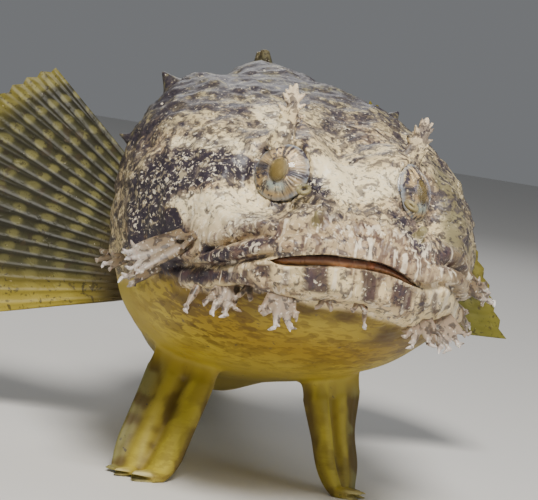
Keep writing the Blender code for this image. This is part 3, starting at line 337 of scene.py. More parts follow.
def body_surface(face, head, body, above, below):
    """Rings of points round the body, each from the top, down the left side, and up the right."""
    s = stations(face, head, body)
    split = mouth_angle(s)
    steps_up = (np.arange(above + 1) / above) ** 1.35
    steps_down = (np.arange(below + 1) / below) ** 1.35
    upper = split[:, None] + (math.pi / 2 - split)[:, None] * steps_up[None, ::-1]
    lower = split[:, None] - (math.pi / 2 + split)[:, None] * steps_down[None, 1:]
    angle = np.concatenate([upper, lower], 1)
    station = np.repeat(s[:, None], angle.shape[1], 1)
    side, z = section(station, angle)
    side[:, 0] = 0
    side[:, -1] = 0
    along_s = np.gradient(np.stack([side, station, z], -1), axis=0)
    along_a = np.gradient(np.stack([side, station, z], -1), axis=1)
    normal = np.cross(along_a, along_s)
    normal /= np.maximum(np.linalg.norm(normal, axis=-1, keepdims=True), 1e-9)
    inward = normal[..., 0] * side + normal[..., 2] * (z - wide_at(station)) < 0
    normal *= np.where(inward, -1, 1)[..., None]
    normal[:, 0, 0] = 0
    normal[:, -1, 0] = 0
    halves = []
    for way in (1, -1):
        push = relief(station, way * side, z) * smooth(station, 0.0, 4.0)
        moved = (side + normal[..., 0] * push, station + normal[..., 1] * push, z + normal[..., 2] * push)
        across, along, high = settle_round_eye(*moved)
        fine = fine_relief(along, way * across, high) * smooth(station, 0.0, 2.0)
        axis = eye_axis(1)
        near = 1 - smooth(from_eye(across, along, high), LID_RADIUS + 2, LID_RADIUS + 5)
        lean = [normal[..., k] * (1 - near) + axis[k] * near for k in range(3)]
        lean[0] = np.where(side == 0, 0, lean[0])
        across, along, high = across + lean[0] * fine, along + lean[1] * fine, high + lean[2] * fine
        halves.append(placed(along, way * across, high))
    for end in (0, -1):
        middle = (halves[0][:, end] + halves[1][:, end]) / 2
        halves[0][:, end] = middle
    return np.concatenate([halves[0], halves[1][:, -2:0:-1]], 1)


# ---- mesh pieces ----

SHARP_ANGLE = 62.0        # degrees between faces past which an edge stays sharp
VOXEL = 0.18              # of the leaves and eye tentacles, whose tubes are merged


def mesh_piece(name, points, faces, merge=True):
    """A piece from points in millimetres, with its faces turned outward."""
    mesh = bpy.data.meshes.new(name)
    mesh.from_pydata([tuple(float(c) * MM for c in p) for p in points], [], faces)
    work = bmesh.new()
    work.from_mesh(mesh)
    if merge:
        bmesh.ops.remove_doubles(work, verts=work.verts, dist=1e-6)
    bmesh.ops.recalc_face_normals(work, faces=work.faces)
    if work.calc_volume(signed=True) < 0:
        bmesh.ops.reverse_faces(work, faces=work.faces)
    work.to_mesh(mesh)
    work.free()
    made = bpy.data.objects.new(name, mesh)
    bpy.context.scene.collection.objects.link(made)
    return made


def select_only(piece):
    """Selects one piece and nothing else."""
    bpy.ops.object.select_all(action="DESELECT")
    piece.select_set(True)
    bpy.context.view_layer.objects.active = piece


def apply_step(piece, kind, **values):
    """Adds one modifier to a piece and applies it."""
    select_only(piece)
    step = piece.modifiers.new(kind.title(), kind)
    for key, value in values.items():
        setattr(step, key, value)
    bpy.ops.object.modifier_apply(modifier=step.name)


def join_pieces(pieces, name):
    """One object from several, named for what they are together."""
    bpy.ops.object.select_all(action="DESELECT")
    for piece in pieces:
        piece.select_set(True)
    bpy.context.view_layer.objects.active = pieces[0]
    bpy.ops.object.join()
    pieces[0].name = name
    pieces[0].data.name = name
    return pieces[0]


def dress(piece, finish, slot, *nodes):
    """Gives a piece its finish and its place in the frame."""
    piece.data.materials.clear()
    piece.data.materials.append(finish)
    select_only(piece)
    bpy.ops.object.shade_smooth_by_angle(angle=math.radians(SHARP_ANGLE))
    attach(piece, "root")
    if nodes:
        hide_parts(*nodes)
    return piece


def write_values(piece, name, values):
    """Keeps one number for each point of a piece, for its finish to read."""
    held = piece.data.attributes.new(name, "FLOAT", "POINT")
    held.data.foreach_set("value", np.asarray(values, np.float32))


def write_colours(piece, name, colours):
    """Keeps one colour for each point of a piece."""
    held = piece.data.attributes.new(name, "FLOAT_COLOR", "POINT")
    full = np.concatenate([np.clip(colours, 0, 1), np.ones((len(colours), 1))], 1)
    held.data.foreach_set("color", full.astype(np.float32).ravel())


def points_of(piece):
    """The points of a piece in millimetres."""
    found = np.empty(len(piece.data.vertices) * 3, np.float32)
    piece.data.vertices.foreach_get("co", found)
    return found.reshape(-1, 3).astype(float) / MM


def normals_of(piece):
    """The way out of a piece at each of its points."""
    found = np.empty(len(piece.data.vertices) * 3, np.float32)
    piece.data.vertices.foreach_get("normal", found)
    return found.reshape(-1, 3).astype(float)


def ring_loft(rings, nose, tail):
    """A closed mesh over rings of points, with a fan at each end."""
    count, around = rings.shape[:2]
    points = [tuple(p) for ring in rings for p in ring] + [tuple(nose), tuple(tail)]
    faces = []
    for i in range(count - 1):
        for j in range(around):
            k = (j + 1) % around
            faces.append((i * around + j, i * around + k, (i + 1) * around + k, (i + 1) * around + j))
    first, last = len(points) - 2, len(points) - 1
    for j in range(around):
        k = (j + 1) % around
        faces.append((first, k, j))
        faces.append((last, (count - 1) * around + j, (count - 1) * around + k))
    return points, faces


def ball(name, centre, radius, axis, around, high):
    """A ball whose pole points along axis."""
    bpy.ops.object.select_all(action="DESELECT")
    bpy.ops.mesh.primitive_uv_sphere_add(segments=around, ring_count=high, radius=radius * MM)
    made = bpy.context.object
    made.name = name
    made.data.transform(Matrix.Translation(centre * MM) @ axis.to_track_quat("Z", "Y").to_matrix().to_4x4())
    return made


def tube(name, path, radii, around=16, flat=1.0, face=None):
    """A closed tapering tube along a path; flat squeezes it towards face."""
    points, faces = [], []
    for k, (spot, radius) in enumerate(zip(path, radii)):
        run = (path[min(k + 1, len(path) - 1)] - path[max(k - 1, 0)]).normalized()
        front = run.cross(run.orthogonal() if face is None else face).normalized()
        depth = run.cross(front).normalized()
        for j in range(around):
            a = 2 * math.pi * j / around
            points.append(spot + front * radius * math.cos(a) + depth * radius * flat * math.sin(a))
    for k in range(len(path) - 1):
        for j in range(around):
            n = (j + 1) % around
            faces.append((k * around + j, k * around + n, (k + 1) * around + n, (k + 1) * around + j))
    faces.append(tuple(range(around - 1, -1, -1)))
    faces.append(tuple(range((len(path) - 1) * around, len(path) * around)))
    return mesh_piece(name, points, faces)


def combine(piece, tool, operation):
    """Cuts a tool's solid out of a piece, or unites the two, then drops the tool."""
    apply_step(piece, "BOOLEAN", operation=operation, solver="MANIFOLD", object=tool)
    bpy.data.objects.remove(tool)


def tree_of(piece):
    """The surface of a piece, kept for measuring distances to it after the piece is gone."""
    mesh, places = piece.data, points_of(piece)
    tree = BVHTree.FromPolygons([v.co.copy() for v in mesh.vertices],
                                [tuple(f.vertices) for f in mesh.polygons])
    return tree, places.min(axis=0), places.max(axis=0)


def distances(points, kept, most):
    """Distance from each point to a kept surface in millimetres, or most where it is further."""
    tree, low, high = kept
    found = np.full(len(points), float(most))
    near = np.all((points > low - most) & (points < high + most), axis=1)
    for k in np.nonzero(near)[0]:
        p = points[k]
        hit = tree.find_nearest(Vector(p) * MM, most * MM)
        if hit[3] is not None:
            found[k] = hit[3] / MM
    return found


def soften(piece, share, rounds):
    """Smooths the points of a piece where share is over a half."""
    work = bmesh.new()
    work.from_mesh(piece.data)
    work.verts.ensure_lookup_table()
    near = [work.verts[k] for k in np.nonzero(share > 0.5)[0]]
    for _ in range(rounds):
        bmesh.ops.smooth_vert(work, verts=near, factor=0.5, use_axis_x=True, use_axis_y=True, use_axis_z=True)
    work.to_mesh(piece.data)
    work.free()


def grow(skin, piece, reach, rounds):
    """Unites a piece with the skin and rounds the corner between them. Returns the piece's kept surface."""
    body_tree, piece_tree = tree_of(skin), tree_of(piece)
    combine(skin, piece, "UNION")
    points = points_of(skin)
    near = distances(points, piece_tree, reach + 1) < reach
    spots = np.nonzero(near)[0]
    share = np.zeros(len(points))
    share[spots] = distances(points[spots], body_tree, reach + 1) < reach
    soften(skin, share, rounds)
    return piece_tree


# ---- places on the head ----


def on_skin(s, side, height=None, across=None):
    """The point of the plain outline at s, at a height or at a distance from the midline, and the way out."""
    low, high = (-math.pi / 2, math.pi / 2) if across is None else (0.0, math.pi / 2)
    for _ in range(40):
        middle = (low + high) / 2
        found = [float(v) for v in section(np.array(s), np.array(middle))]
        if (found[1] < height) if across is None else (found[0] > across):
            low = middle
        else:
            high = middle
    near = [float(v) for v in section(np.array(s), np.array(middle + 0.03))]
    after = [float(v) for v in section(np.array(s + 0.5), np.array(middle))]
    up = Vector((near[0] - found[0], 0, near[1] - found[1]))
    back = Vector((after[0] - found[0], 0.5, after[1] - found[1]))
    out = back.cross(up).normalized()
    if out.x * found[0] + out.z * (found[1] - float(wide_at(s))) < 0:
        out = -out
    out.x *= side
    return Vector(placed(np.array(s), np.array(side * found[0]), np.array(found[1]))), out


def face_depth(across, height):
    """How far behind the snout the plain outline is met at this distance from the midline and height."""
    low, high = 0.02, 60.0
    for _ in range(40):
        s = np.array((low + high) / 2)
        rise = height - float(wide_at(s))
        tall = float(top(s) - wide_at(s)) if rise > 0 else float(wide_at(s) - belly(s))
        share = min(abs(rise) / tall, 1.0) ** (1 / float(squareness(s)))
        if float(half_width(s)) * math.sqrt(1 - share * share) ** float(squareness(s)) > across:
            high = float(s)
        else:
            low = float(s)
    return high


def on_face(side, across, height):
    """The point of the face seen from the front at this place, and the way out from it."""
    s = face_depth(across, height)
    out = Vector(((face_depth(across + 0.3, height) - s) / 0.3, -1,
                  (face_depth(across, height + 0.3) - s) / 0.3))
    out.normalize()
    out.x *= side
    return Vector(placed(np.array(s), np.array(side * across), np.array(height))), out


# ---- skin ----

FACE_RINGS, HEAD_RINGS, BODY_RINGS = 76, 84, 56
SKIN_ABOVE, SKIN_BELOW = 84, 66


def lip_of(side):
    """How far behind the snout the lips are met at this distance from the midline."""
    across = np.minimum(np.abs(side), 20.0)
    spots = np.linspace(0, 20, 41)
    return np.interp(across, spots, [face_depth(float(a), float(mouth_at(6.0))) for a in spots])


def gape_tool():
    """The open gape: a wedge across the lips that closes behind them."""
    spots, above, below = (np.array(column) for column in zip(*GAPE))
    sides = np.linspace(spots[0], spots[-1], 64)
    shares = np.linspace(0, 1, 14)
    points, faces = [], []
    for side in sides:
        lip = float(lip_of(side))
        up, down = np.interp(side, spots, above) + 0.01, np.interp(side, spots, below) + 0.01
        line = float(mouth_at(lip) + mouth_droop(side))
        upper = [(-9.0, line + up)] + [(lip + GAPE_DEPTH * t, line - 0.25 * t * GAPE_DEPTH * 0.5
                                        + up * (1 - t) ** 1.3)
                                       for t in shares]
        lower = [(lip + GAPE_DEPTH * t, line - 0.25 * t * GAPE_DEPTH * 0.5 - down * (1 - t) ** 1.3)
                 for t in shares[::-1][1:]] + [(-9.0, line - down)]
        points += [(side - ORIGIN_X, s - ORIGIN_Y, z) for s, z in upper + lower]
    count = 2 * (len(shares) + 1) - 1
    for i in range(len(sides) - 1):
        for k in range(count):
            n = (k + 1) % count
            faces.append((i * count + k, i * count + n, (i + 1) * count + n, (i + 1) * count + k))
    faces += [tuple(range(count)), tuple(range(len(points) - 1, len(points) - 1 - count, -1))]
    return mesh_piece("gape", points, faces)


def nostril_pieces(side):
    """The short tube of the front nostril and the raised rim of the rear one."""
    base, out = on_skin(5.5, side, across=10.5)
    lie = (out + Vector((0, -0.2, 0.5))).normalized()
    front = tube("nostril", [base + lie * t for t in (-2.0, 0.8, 1.8, 2.5, 2.7)],
                 [1.3, 1.05, 0.9, 0.85, 0.5], 20)
    base, out = on_skin(15.0, side, across=11.5)
    across = out.to_track_quat("Z", "Y").to_matrix()
    path = [base + across @ Vector((1.05 * math.cos(a), 1.35 * math.sin(a), 0))
            for a in np.linspace(0, 2 * math.pi, 41)[:-1]]
    points, faces = [], []
    for k, spot in enumerate(path):
        outward = (spot - base).normalized()
        for j in range(10):
            a = 2 * math.pi * j / 10
            points.append(spot + outward * 0.5 * math.cos(a) + out * 0.5 * math.sin(a))
    for k in range(40):
        for j in range(10):
            n, m = (k + 1) % 40, (j + 1) % 10
            faces.append((k * 10 + j, n * 10 + j, n * 10 + m, k * 10 + m))
    return front, mesh_piece("nostril_rim", points, faces)


# Skin-covered spines of each gill cover: behind the snout, height, length, radius, how far each rises.
GILL_SPINES = ((79.0, 83.0, 5.0, 4.4, 0.55), (77.0, 70.0, 3.2, 2.6, 0.2))


def gill_spine(side, s, height, length, radius, rise):
    base, out = on_skin(s, side, height=height)
    lie = Vector((side * 0.55, 0.35, rise)).normalized()
    low, tip = base - out * 2.5, base + lie * length
    return tube("spine", [low.lerp(tip, t) for t in (0.0, 0.3, 0.5, 0.7, 0.85, 0.95, 1.0)],
                [radius * r for r in (1.0, 0.78, 0.55, 0.34, 0.2, 0.11, 0.04)], 24)


# Where each eye tentacle's root lies from its eye's centre (outward, back, up), its lean to the left
# and its breadth.
TENTACLE = {-1: ((1.6, 1.4, 10.4), 0.08, 1.0), 1: ((2.2, 2.6, 8.2), 0.26, 1.4)}
TENTACLE_HEIGHT = 8.8
TENTACLE_WIDTH = 3.2
# Short branches of an eye tentacle: edge, share of the height, length, lean outward.
TENTACLE_BRANCHES = ((-1, 0.34, 1.7, 52), (-1, 0.57, 1.9, 42), (-1, 0.78, 1.5, 28),
                     (1, 0.68, 1.7, 36), (1, 0.46, 1.8, 46), (1, 0.24, 1.4, 56))


def tentacle(side):
    """The tapering tentacle over an eye with its short branches, and the boss that it stands on."""
    (outward, back, up), lean, broad = TENTACLE[side]
    root = eye_centre(side) + Vector((side * outward, back, up))
    lie = Vector((lean, -0.02, 1.0)).normalized()
    across = lie.cross(Vector((side * 0.3, -1, 0.1))).normalized()
    face = across.cross(lie).normalized()
    rng = random.Random(5 + side)
    shares = (-0.62, -0.35, -0.1, 0.1, 0.3, 0.5, 0.7, 0.85, 0.96, 1.0)
    radii = (3.4, 2.8, 2.1, 1.75, 1.5, 1.25, 0.95, 0.7, 0.4, 0.15)
    path = [root + lie * TENTACLE_HEIGHT * t + across * 0.25 * math.sin(5 * t) for t in shares]
    made = [tube("stalk", path, [broad * r for r in radii], 28, 0.72 / broad, face)]
    branches = list(TENTACLE_BRANCHES)
    branches += [(rng.choice((-1, 1)), rng.uniform(0.12, 0.85), rng.uniform(0.9, 1.5), rng.uniform(20, 60))
                 for _ in range(9)]
    for k, (edge, share, length, lean) in enumerate(branches):
        out = 0.4 * broad * TENTACLE_WIDTH * (1 - share) ** 0.55
        foot = root + lie * TENTACLE_HEIGHT * (share - 0.06) + across * edge * out
        tilt = math.radians(lean)
        away = face * (rng.uniform(-0.9, 0.9) if k >= 6 else rng.uniform(-0.25, 0.25))
        way = (across * edge * math.sin(tilt) + lie * math.cos(tilt) + away).normalized()
        made.append(tube("branch", [foot + way * (length + 0.6) * t for t in (-0.25, 0.2, 0.5, 0.8, 1.0)],
                         [0.62, 0.55, 0.46, 0.3, 0.1], 12))
    made = join_pieces(made, "tentacle")
    apply_step(made, "REMESH", mode="VOXEL", voxel_size=(VOXEL - 0.01) * MM, use_smooth_shade=True)
    apply_step(made, "SMOOTH", factor=0.5, iterations=1)
    return made, root, lie


def make_skin():
    """The whole skin, with what grows from it, and the kept surfaces that its paint goes by."""
    rings = body_surface(FACE_RINGS, HEAD_RINGS, BODY_RINGS, SKIN_ABOVE, SKIN_BELOW)
    nose = placed(np.array(0.0), np.array(0.0), np.array(56.5))
    tail = placed(np.array(STANDARD_LENGTH), np.array(0.0), np.array(17.8))
    skin = mesh_piece("skin", *ring_loft(rings, nose, tail))
    kept = {}
    for side in (-1, 1):
        limb, spots, values = pelvic_fin("pelvic", side)
        kept["limb", side] = grow(skin, limb, 4.5, 50), spots, values
        piece, root, lie = tentacle(side)
        kept["tentacle", side] = grow(skin, piece, 0.9, 5), root, lie
        for k, piece in enumerate(nostril_pieces(side)):
            kept["nostril", side, k] = grow(skin, piece, 0.6, 3)
        for place in GILL_SPINES:
            grow(skin, gill_spine(side, *place), 1.6, 8)
    tool = gape_tool()
    kept["gape"] = tree_of(tool)
    combine(skin, tool, "DIFFERENCE")
    for side in (-1, 1):
        combine(skin, ball("socket", eye_centre(side), EYE_RADIUS + 0.02, eye_axis(side), 96, 48),
                "DIFFERENCE")
    points = points_of(skin)
    lips = (points[:, 1] + ORIGIN_Y < GAPE_DEPTH + 8) & (np.abs(points[:, 0]) < 22)
    share = np.zeros(len(points))
    share[lips] = distances(points[lips], kept["gape"], 2.0) < 0.8
    soften(skin, share, 4)
    return skin, kept


# ---- the photograph's places on the skin ----


def view_frame():
    """The camera's place and its right, up and forward directions, in millimetres."""
    turn, tilt, roll = (math.radians(a) for a in (VIEW_TURN, VIEW_TILT, VIEW_ROLL))
    forward = Vector((-math.sin(turn) * math.cos(tilt), math.cos(turn) * math.cos(tilt), -math.sin(tilt)))
    right = Vector((math.cos(turn), math.sin(turn), 0))
    up = right.cross(forward)
    target = Vector((VIEW_TARGET[0] - ORIGIN_X, VIEW_TARGET[1] - ORIGIN_Y, VIEW_TARGET[2]))
    turned_up = up * math.cos(roll) - right * math.sin(roll)
    turned_right = right * math.cos(roll) + up * math.sin(roll)
    return target - forward * VIEW_DISTANCE, turned_right, turned_up, forward


def in_picture(points, normals):
    """Where each point falls in the picture, and how squarely it faces the camera."""
    eye, right, up, forward = (np.array(v) for v in view_frame())
    gap = points - eye
    depth = gap @ forward
    u = PICTURE[0] / 2 + VIEW_SHIFT[0] + VIEW_FOCAL * (gap @ right) / depth
    v = PICTURE[1] / 2 + VIEW_SHIFT[1] - VIEW_FOCAL * (gap @ up) / depth
    facing = -np.sum(normals * gap, axis=1) / np.linalg.norm(gap, axis=1)
    return np.stack([u, v], -1), smooth(facing, -0.05, 0.2)


def inside_of(spots, corners, soft):
    """1 inside a patch of the picture, 0 outside it, with a soft edge in pixels."""
    corners = np.array(corners, float)
    near = np.full(len(spots), 1e9)
    turns = np.zeros(len(spots), bool)
    for a, b in zip(corners, np.roll(corners, -1, axis=0)):
        run = b - a
        t = np.clip(((spots - a) @ run) / (run @ run), 0, 1)
        near = np.minimum(near, np.linalg.norm(spots - a - t[:, None] * run, axis=1))
        crosses = (a[1] > spots[:, 1]) != (b[1] > spots[:, 1])
        at = a[0] + (spots[:, 1] - a[1]) * run[0] / (run[1] if run[1] else 1e-9)
        turns ^= crosses & (spots[:, 0] < at)
    return smooth(np.where(turns, near, -near), -soft, soft)


def along_line(spots, path, width):
    """1 on a line of the picture, fading over width pixels."""
    near = np.full(len(spots), 1e9)
    path = np.array(path, float)
    for a, b in zip(path, path[1:]):
        run = b - a
        t = np.clip(((spots - a) @ run) / (run @ run), 0, 1)
        near = np.minimum(near, np.linalg.norm(spots - a - t[:, None] * run, axis=1))
    return hump(near, width)


def pixels(*flat):
    """Pairs of places in the picture from a run of numbers."""
    return [(flat[k], flat[k + 1]) for k in range(0, len(flat), 2)]


# The pattern of the head in the picture: edges of its slate patches.
SLATE = (
    pixels(249, 159, 239, 156, 219, 152, 200, 150, 182, 148, 175, 146, 160, 159, 142, 167, 132, 179,
           130, 199, 125, 214, 127, 229, 140, 234, 157, 222, 162, 212, 163, 202, 182, 189, 204, 182,
           229, 178, 249, 176, 259, 172, 258, 163),
    pixels(222, 234, 224, 224, 239, 215, 259, 212, 264, 217, 259, 229, 239, 239, 224, 238),
    pixels(279, 182, 274, 192, 269, 202, 259, 212, 263, 215, 274, 207, 282, 197, 285, 189),
    pixels(389, 209, 399, 214, 413, 229, 423, 239, 431, 261, 421, 256, 406, 239, 394, 224),
    pixels(299, 184, 309, 189, 324, 199, 331, 192, 319, 179, 306, 174),
    pixels(433, 249, 448, 249, 451, 266, 443, 274, 431, 261),
)
# Painted shade in the crease of the fold along the upper lip.
LIP_CREASE_SHADE = (
    pixels(200, 251, 204, 244, 219, 249, 239, 244, 259, 238, 279, 233, 279, 239, 262, 247, 249, 254,
           239, 261, 224, 266, 209, 265, 200, 261),
)
# Brown patches; the one under the mouth's corner is painted shade under its leaves.
BROWN_AND_SHADE_PATCHES = (
    pixels(127, 234, 140, 235, 157, 223, 165, 209, 175, 209, 187, 229, 195, 239, 192, 249, 182, 259,
           175, 274, 160, 281, 150, 269, 135, 254, 125, 247),
    pixels(175, 266, 200, 269, 224, 271, 239, 274, 229, 281, 207, 283, 182, 280, 162, 281),
    pixels(304, 135, 309, 136, 309, 147, 303, 148),
)
# Cream patches.
CREAM = (
    pixels(259, 184, 239, 188, 204, 189, 182, 194, 163, 202, 175, 209, 185, 224, 195, 234, 192, 249,
           207, 239, 219, 247, 229, 234, 249, 234, 272, 209, 264, 199),
    pixels(162, 142, 180, 137, 204, 135, 229, 136, 249, 142, 259, 150, 257, 159, 239, 154, 219, 150,
           200, 148, 175, 145),
    pixels(311, 157, 339, 159, 371, 169, 408, 167, 411, 189, 386, 199, 359, 204, 334, 199, 319, 179),
    pixels(254, 102, 274, 105, 284, 115, 289, 132, 274, 132, 259, 122, 249, 112),
)
# The grey-green cheek on its left.
GREY = (
    pixels(431, 154, 448, 169, 468, 209, 473, 249, 468, 274, 458, 289, 446, 274, 443, 239, 438, 209,
           433, 184),
)
# Rows of dark dots, and one line of painted shade in the groove down the snout's midline: places along each,
# and its width.
DARK_LINES = (
    (pixels(175, 125, 204, 123, 229, 125, 247, 132), 2.9),
    (pixels(321, 152, 334, 151, 349, 154, 364, 159, 371, 164), 2.7),
    # Painted shade in the groove down the midline of the snout.
    (pixels(364, 179, 361, 199), 1.6),
    (pixels(279, 132, 283, 154), 2.7),
    (pixels(374, 197, 394, 199), 2.9),
    (pixels(236, 132, 249, 137, 259, 147), 2.2),
    (pixels(150, 125, 162, 122, 175, 125), 2.5),
    (pixels(239, 110, 252, 125), 2.3),
    (pixels(314, 169, 324, 184), 2.2),
    (pixels(130, 150, 140, 137, 150, 130), 2.7),
    (pixels(182, 150, 204, 152, 239, 157, 254, 162), 2.3),
)
# Dark bars of the lower lip.
LIP_BARS = (
    pixels(255, 264, 272, 264, 269, 280, 254, 278),
    pixels(283, 269, 290, 269, 288, 286, 280, 285),
    pixels(304, 266, 330, 267, 328, 293, 302, 290),
    pixels(361, 270, 377, 273, 374, 302, 359, 300),
    pixels(392, 281, 411, 285, 408, 311, 391, 307),
    pixels(420, 288, 426, 289, 425, 312, 418, 311),
    pixels(433, 291, 439, 293, 437, 315, 431, 314),
    pixels(243, 269, 250, 268, 248, 281, 241, 281),
    pixels(224, 273, 232, 272, 229, 283, 222, 283),
)

# Colours, each by its screen values.
PALE = tone(226, 204, 156)
CREAM_SKIN = tone(246, 228, 184)
BLUSH = tone(178, 142, 108)
INDIGO = tone(44, 42, 66)
BROWN_SKIN = tone(84, 54, 36)
OCHRE = tone(152, 122, 12)
STRAW = tone(188, 166, 56)
GREY_GREEN = tone(80, 80, 54)
DEEP_BACK = tone(58, 50, 30)
GAPE_SHADE = tone(22, 13, 9)
LIMB = tone(150, 132, 48)
LIMB_RAY = tone(190, 174, 56)
LIMB_EDGE = tone(120, 124, 88)
LIMB_BLOTCH = tone(86, 64, 22)
TOE_PALE = tone(206, 196, 150)
BACK_BROWN = tone(106, 92, 58)
ROSETTE = tone(176, 160, 112)
CREASE_SHADE_DARK = tone(40, 32, 36)
DARK_DOTS_AND_GROOVE_SHADE = tone(44, 40, 54)
LIP_TAN = tone(120, 90, 76)
LIP_BAR = tone(58, 38, 42)
CHIN_SIDE = tone(116, 102, 34)
BELLY_REAR = tone(138, 124, 52)
UNDER_LIP_SHADE = tone(74, 52, 14)
CHIN_BROWN_AND_SHADE = tone(72, 54, 24)
TAIL_BELLY = tone(150, 138, 84)
TENTACLE_TIP = tone(226, 204, 176)
NOSTRIL = tone(112, 106, 70)
PECTORAL_BASE = tone(58, 56, 32)
PECTORAL_RAY = tone(28, 26, 18)
PECTORAL_SPOT = tone(120, 114, 66)
PECTORAL_MARGIN = tone(140, 128, 46)
PECTORAL_YELLOW = tone(168, 150, 50)
PECTORAL_MOSS = tone(104, 100, 36)
PECTORAL_ROOT = tone(92, 80, 52)
DORSAL_BASE = tone(104, 98, 66)
DORSAL_RAY = tone(52, 46, 32)
DORSAL_SPOT = tone(172, 162, 116)
DORSAL_BAR = tone(46, 42, 30)
SPINE_BASE = tone(74, 70, 48)
SPINE_TIP = tone(120, 110, 80)
ANAL_BASE = tone(120, 112, 70)
ANAL_RAY = tone(64, 56, 38)
ANAL_MARGIN = tone(170, 158, 84)
TAIL_SPOT = tone(176, 168, 116)
CAUDAL_BASE = tone(84, 78, 50)
CAUDAL_RAY = tone(44, 40, 28)
IRIS_CREAM = tone(168, 142, 98)
IRIS_BROWN = tone(104, 88, 62)
IRIS_BLUE_HIGHLIGHT = tone(130, 170, 176)
STREAK_BELOW = tone(24, 24, 40)
STREAK_ABOVE = tone(32, 30, 40)
STREAK_LEVEL = tone(30, 30, 46)
STREAK_ROUND = tone(60, 52, 50)
PUPIL_RIM = tone(46, 38, 30)
PUPIL_EYESHINE = tone(96, 78, 26)
PUPIL_EYESHINE_EDGE = tone(64, 54, 22)
DOME_RIM_REFLECTION = tone(150, 160, 170)
MOUTH_TAN = tone(168, 118, 74)
MOUTH_BROWN = tone(104, 64, 44)
MOUTH_TOP_SHADOW = tone(26, 14, 10)
MOUTH_FOLD = tone(150, 90, 60)
NET_BROWN = tone(82, 54, 8)
SOFT_SLATE = tone(92, 78, 76)
SOFT_EARTH = tone(80, 68, 44)
PLEAT_DARK = tone(84, 62, 60)
PLEAT_PALE = tone(238, 224, 198)
LEAF_BROWN = tone(108, 90, 60)
LEAF_PALE = tone(166, 144, 122)
LEAF_TIP = tone(238, 232, 228)
LEAF_DUSK = tone(64, 52, 42)
LEAF_FLECK = tone(226, 216, 200)
IRIS_DUSK = tone(56, 48, 56)
IRIS_FLECK = tone(206, 188, 146)
DOME_EDGE_REFLECTION = tone(222, 226, 236)
FLOOR_GREY = tone(214, 212, 208)
# Dark flecks of the skin: size, softness, seed, strength, ink on the face, ink on the back and fins.
DARK_FLECKS = (
    (1.7, 0.05, 1.0, 0.72, tone(62, 54, 66), tone(58, 48, 30)),
    (0.95, 0.05, 2.0, 0.72, tone(48, 42, 54), tone(44, 37, 24)),
    (0.5, 0.06, 15.0, 0.6, tone(40, 34, 42), tone(36, 30, 20)),
)
# Pale flecks, the finest and palest of them painted glints: size, seed, strength, ink.
PALE_FLECKS_AND_GLINTS = ((0.75, 7.0, 0.55, tone(200, 184, 146)), (0.38, 17.0, 0.75, tone(244, 232, 204)))


def blend(colours, other, share):
    """Colours moved towards another by a share for each point."""
    return colours * (1 - share[:, None]) + np.array(other) * share[:, None]


class Pattern:
    """The pattern of the head: patches of the picture laid on the skin, and on the cheek that it hides."""

    def __init__(self, points, normals, s, side):
        self.near, facing = in_picture(points, normals)
        across = placed(s, -side, points[:, 2])
        self.far, far_facing = in_picture(across, normals * (-1, 1, 1))
        self.own = facing * (1 - smooth(s, 66, 84))
        self.other = smooth(side, 6, 12) * (1 - facing) * far_facing * (1 - smooth(s, 66, 84))
        self.wander = 1.6 * np.stack([grain(points, 1.9, 31), grain(points, 1.9, 32)], -1)
        self.wander += 2.4 * np.stack([grain(points, 5.0, 33), grain(points, 5.0, 34)], -1)

    def total(self, measure):
        near = self.own * measure(self.near + self.wander)
        return np.maximum(near, self.other * measure(self.far + self.wander))

    def patches(self, group, soft=3.5):
        return self.total(lambda spots: np.max([inside_of(spots, corners, soft) for corners in group],
                                               axis=0))

    def lines(self, group):
        return self.total(lambda spots: np.max([along_line(spots, path, width) for path, width in group],
                                               axis=0))


def limb_paint(points, spots, values):
    """Base colour and dark flecks of a pelvic fin from the places of its own points."""
    found = nearest_values(points, spots, values)
    root, spot = found[:, 0], found[:, 1]
    drawn = points * (1, 1, 0.45)
    blotch = smooth(grain(drawn, 3.4, 51) + 0.6 * grain(drawn, 1.5, 52), -0.05, 0.5)
    colour = np.tile(np.array(LIMB), (len(points), 1))
    rays = np.maximum(1 - smooth(np.abs(spot - 0.20), 0.11, 0.22),
                      0.7 * (1 - smooth(np.abs(spot - 0.62), 0.05, 0.15)))
    colour = blend(colour, LIMB_RAY, 0.8 * rays)
    colour = blend(colour, LIMB_EDGE, 0.6 * smooth(spot, 0.7, 0.9))
    colour = blend(colour, LIMB_BLOTCH, blotch * (0.8 - 0.45 * rays))
    colour = blend(colour, TOE_PALE, 0.6 * smooth(root, 0.8, 1.0) * rays)
    return colour, 0.2 * (1 - rays), smooth(root, 0.02, 0.2)


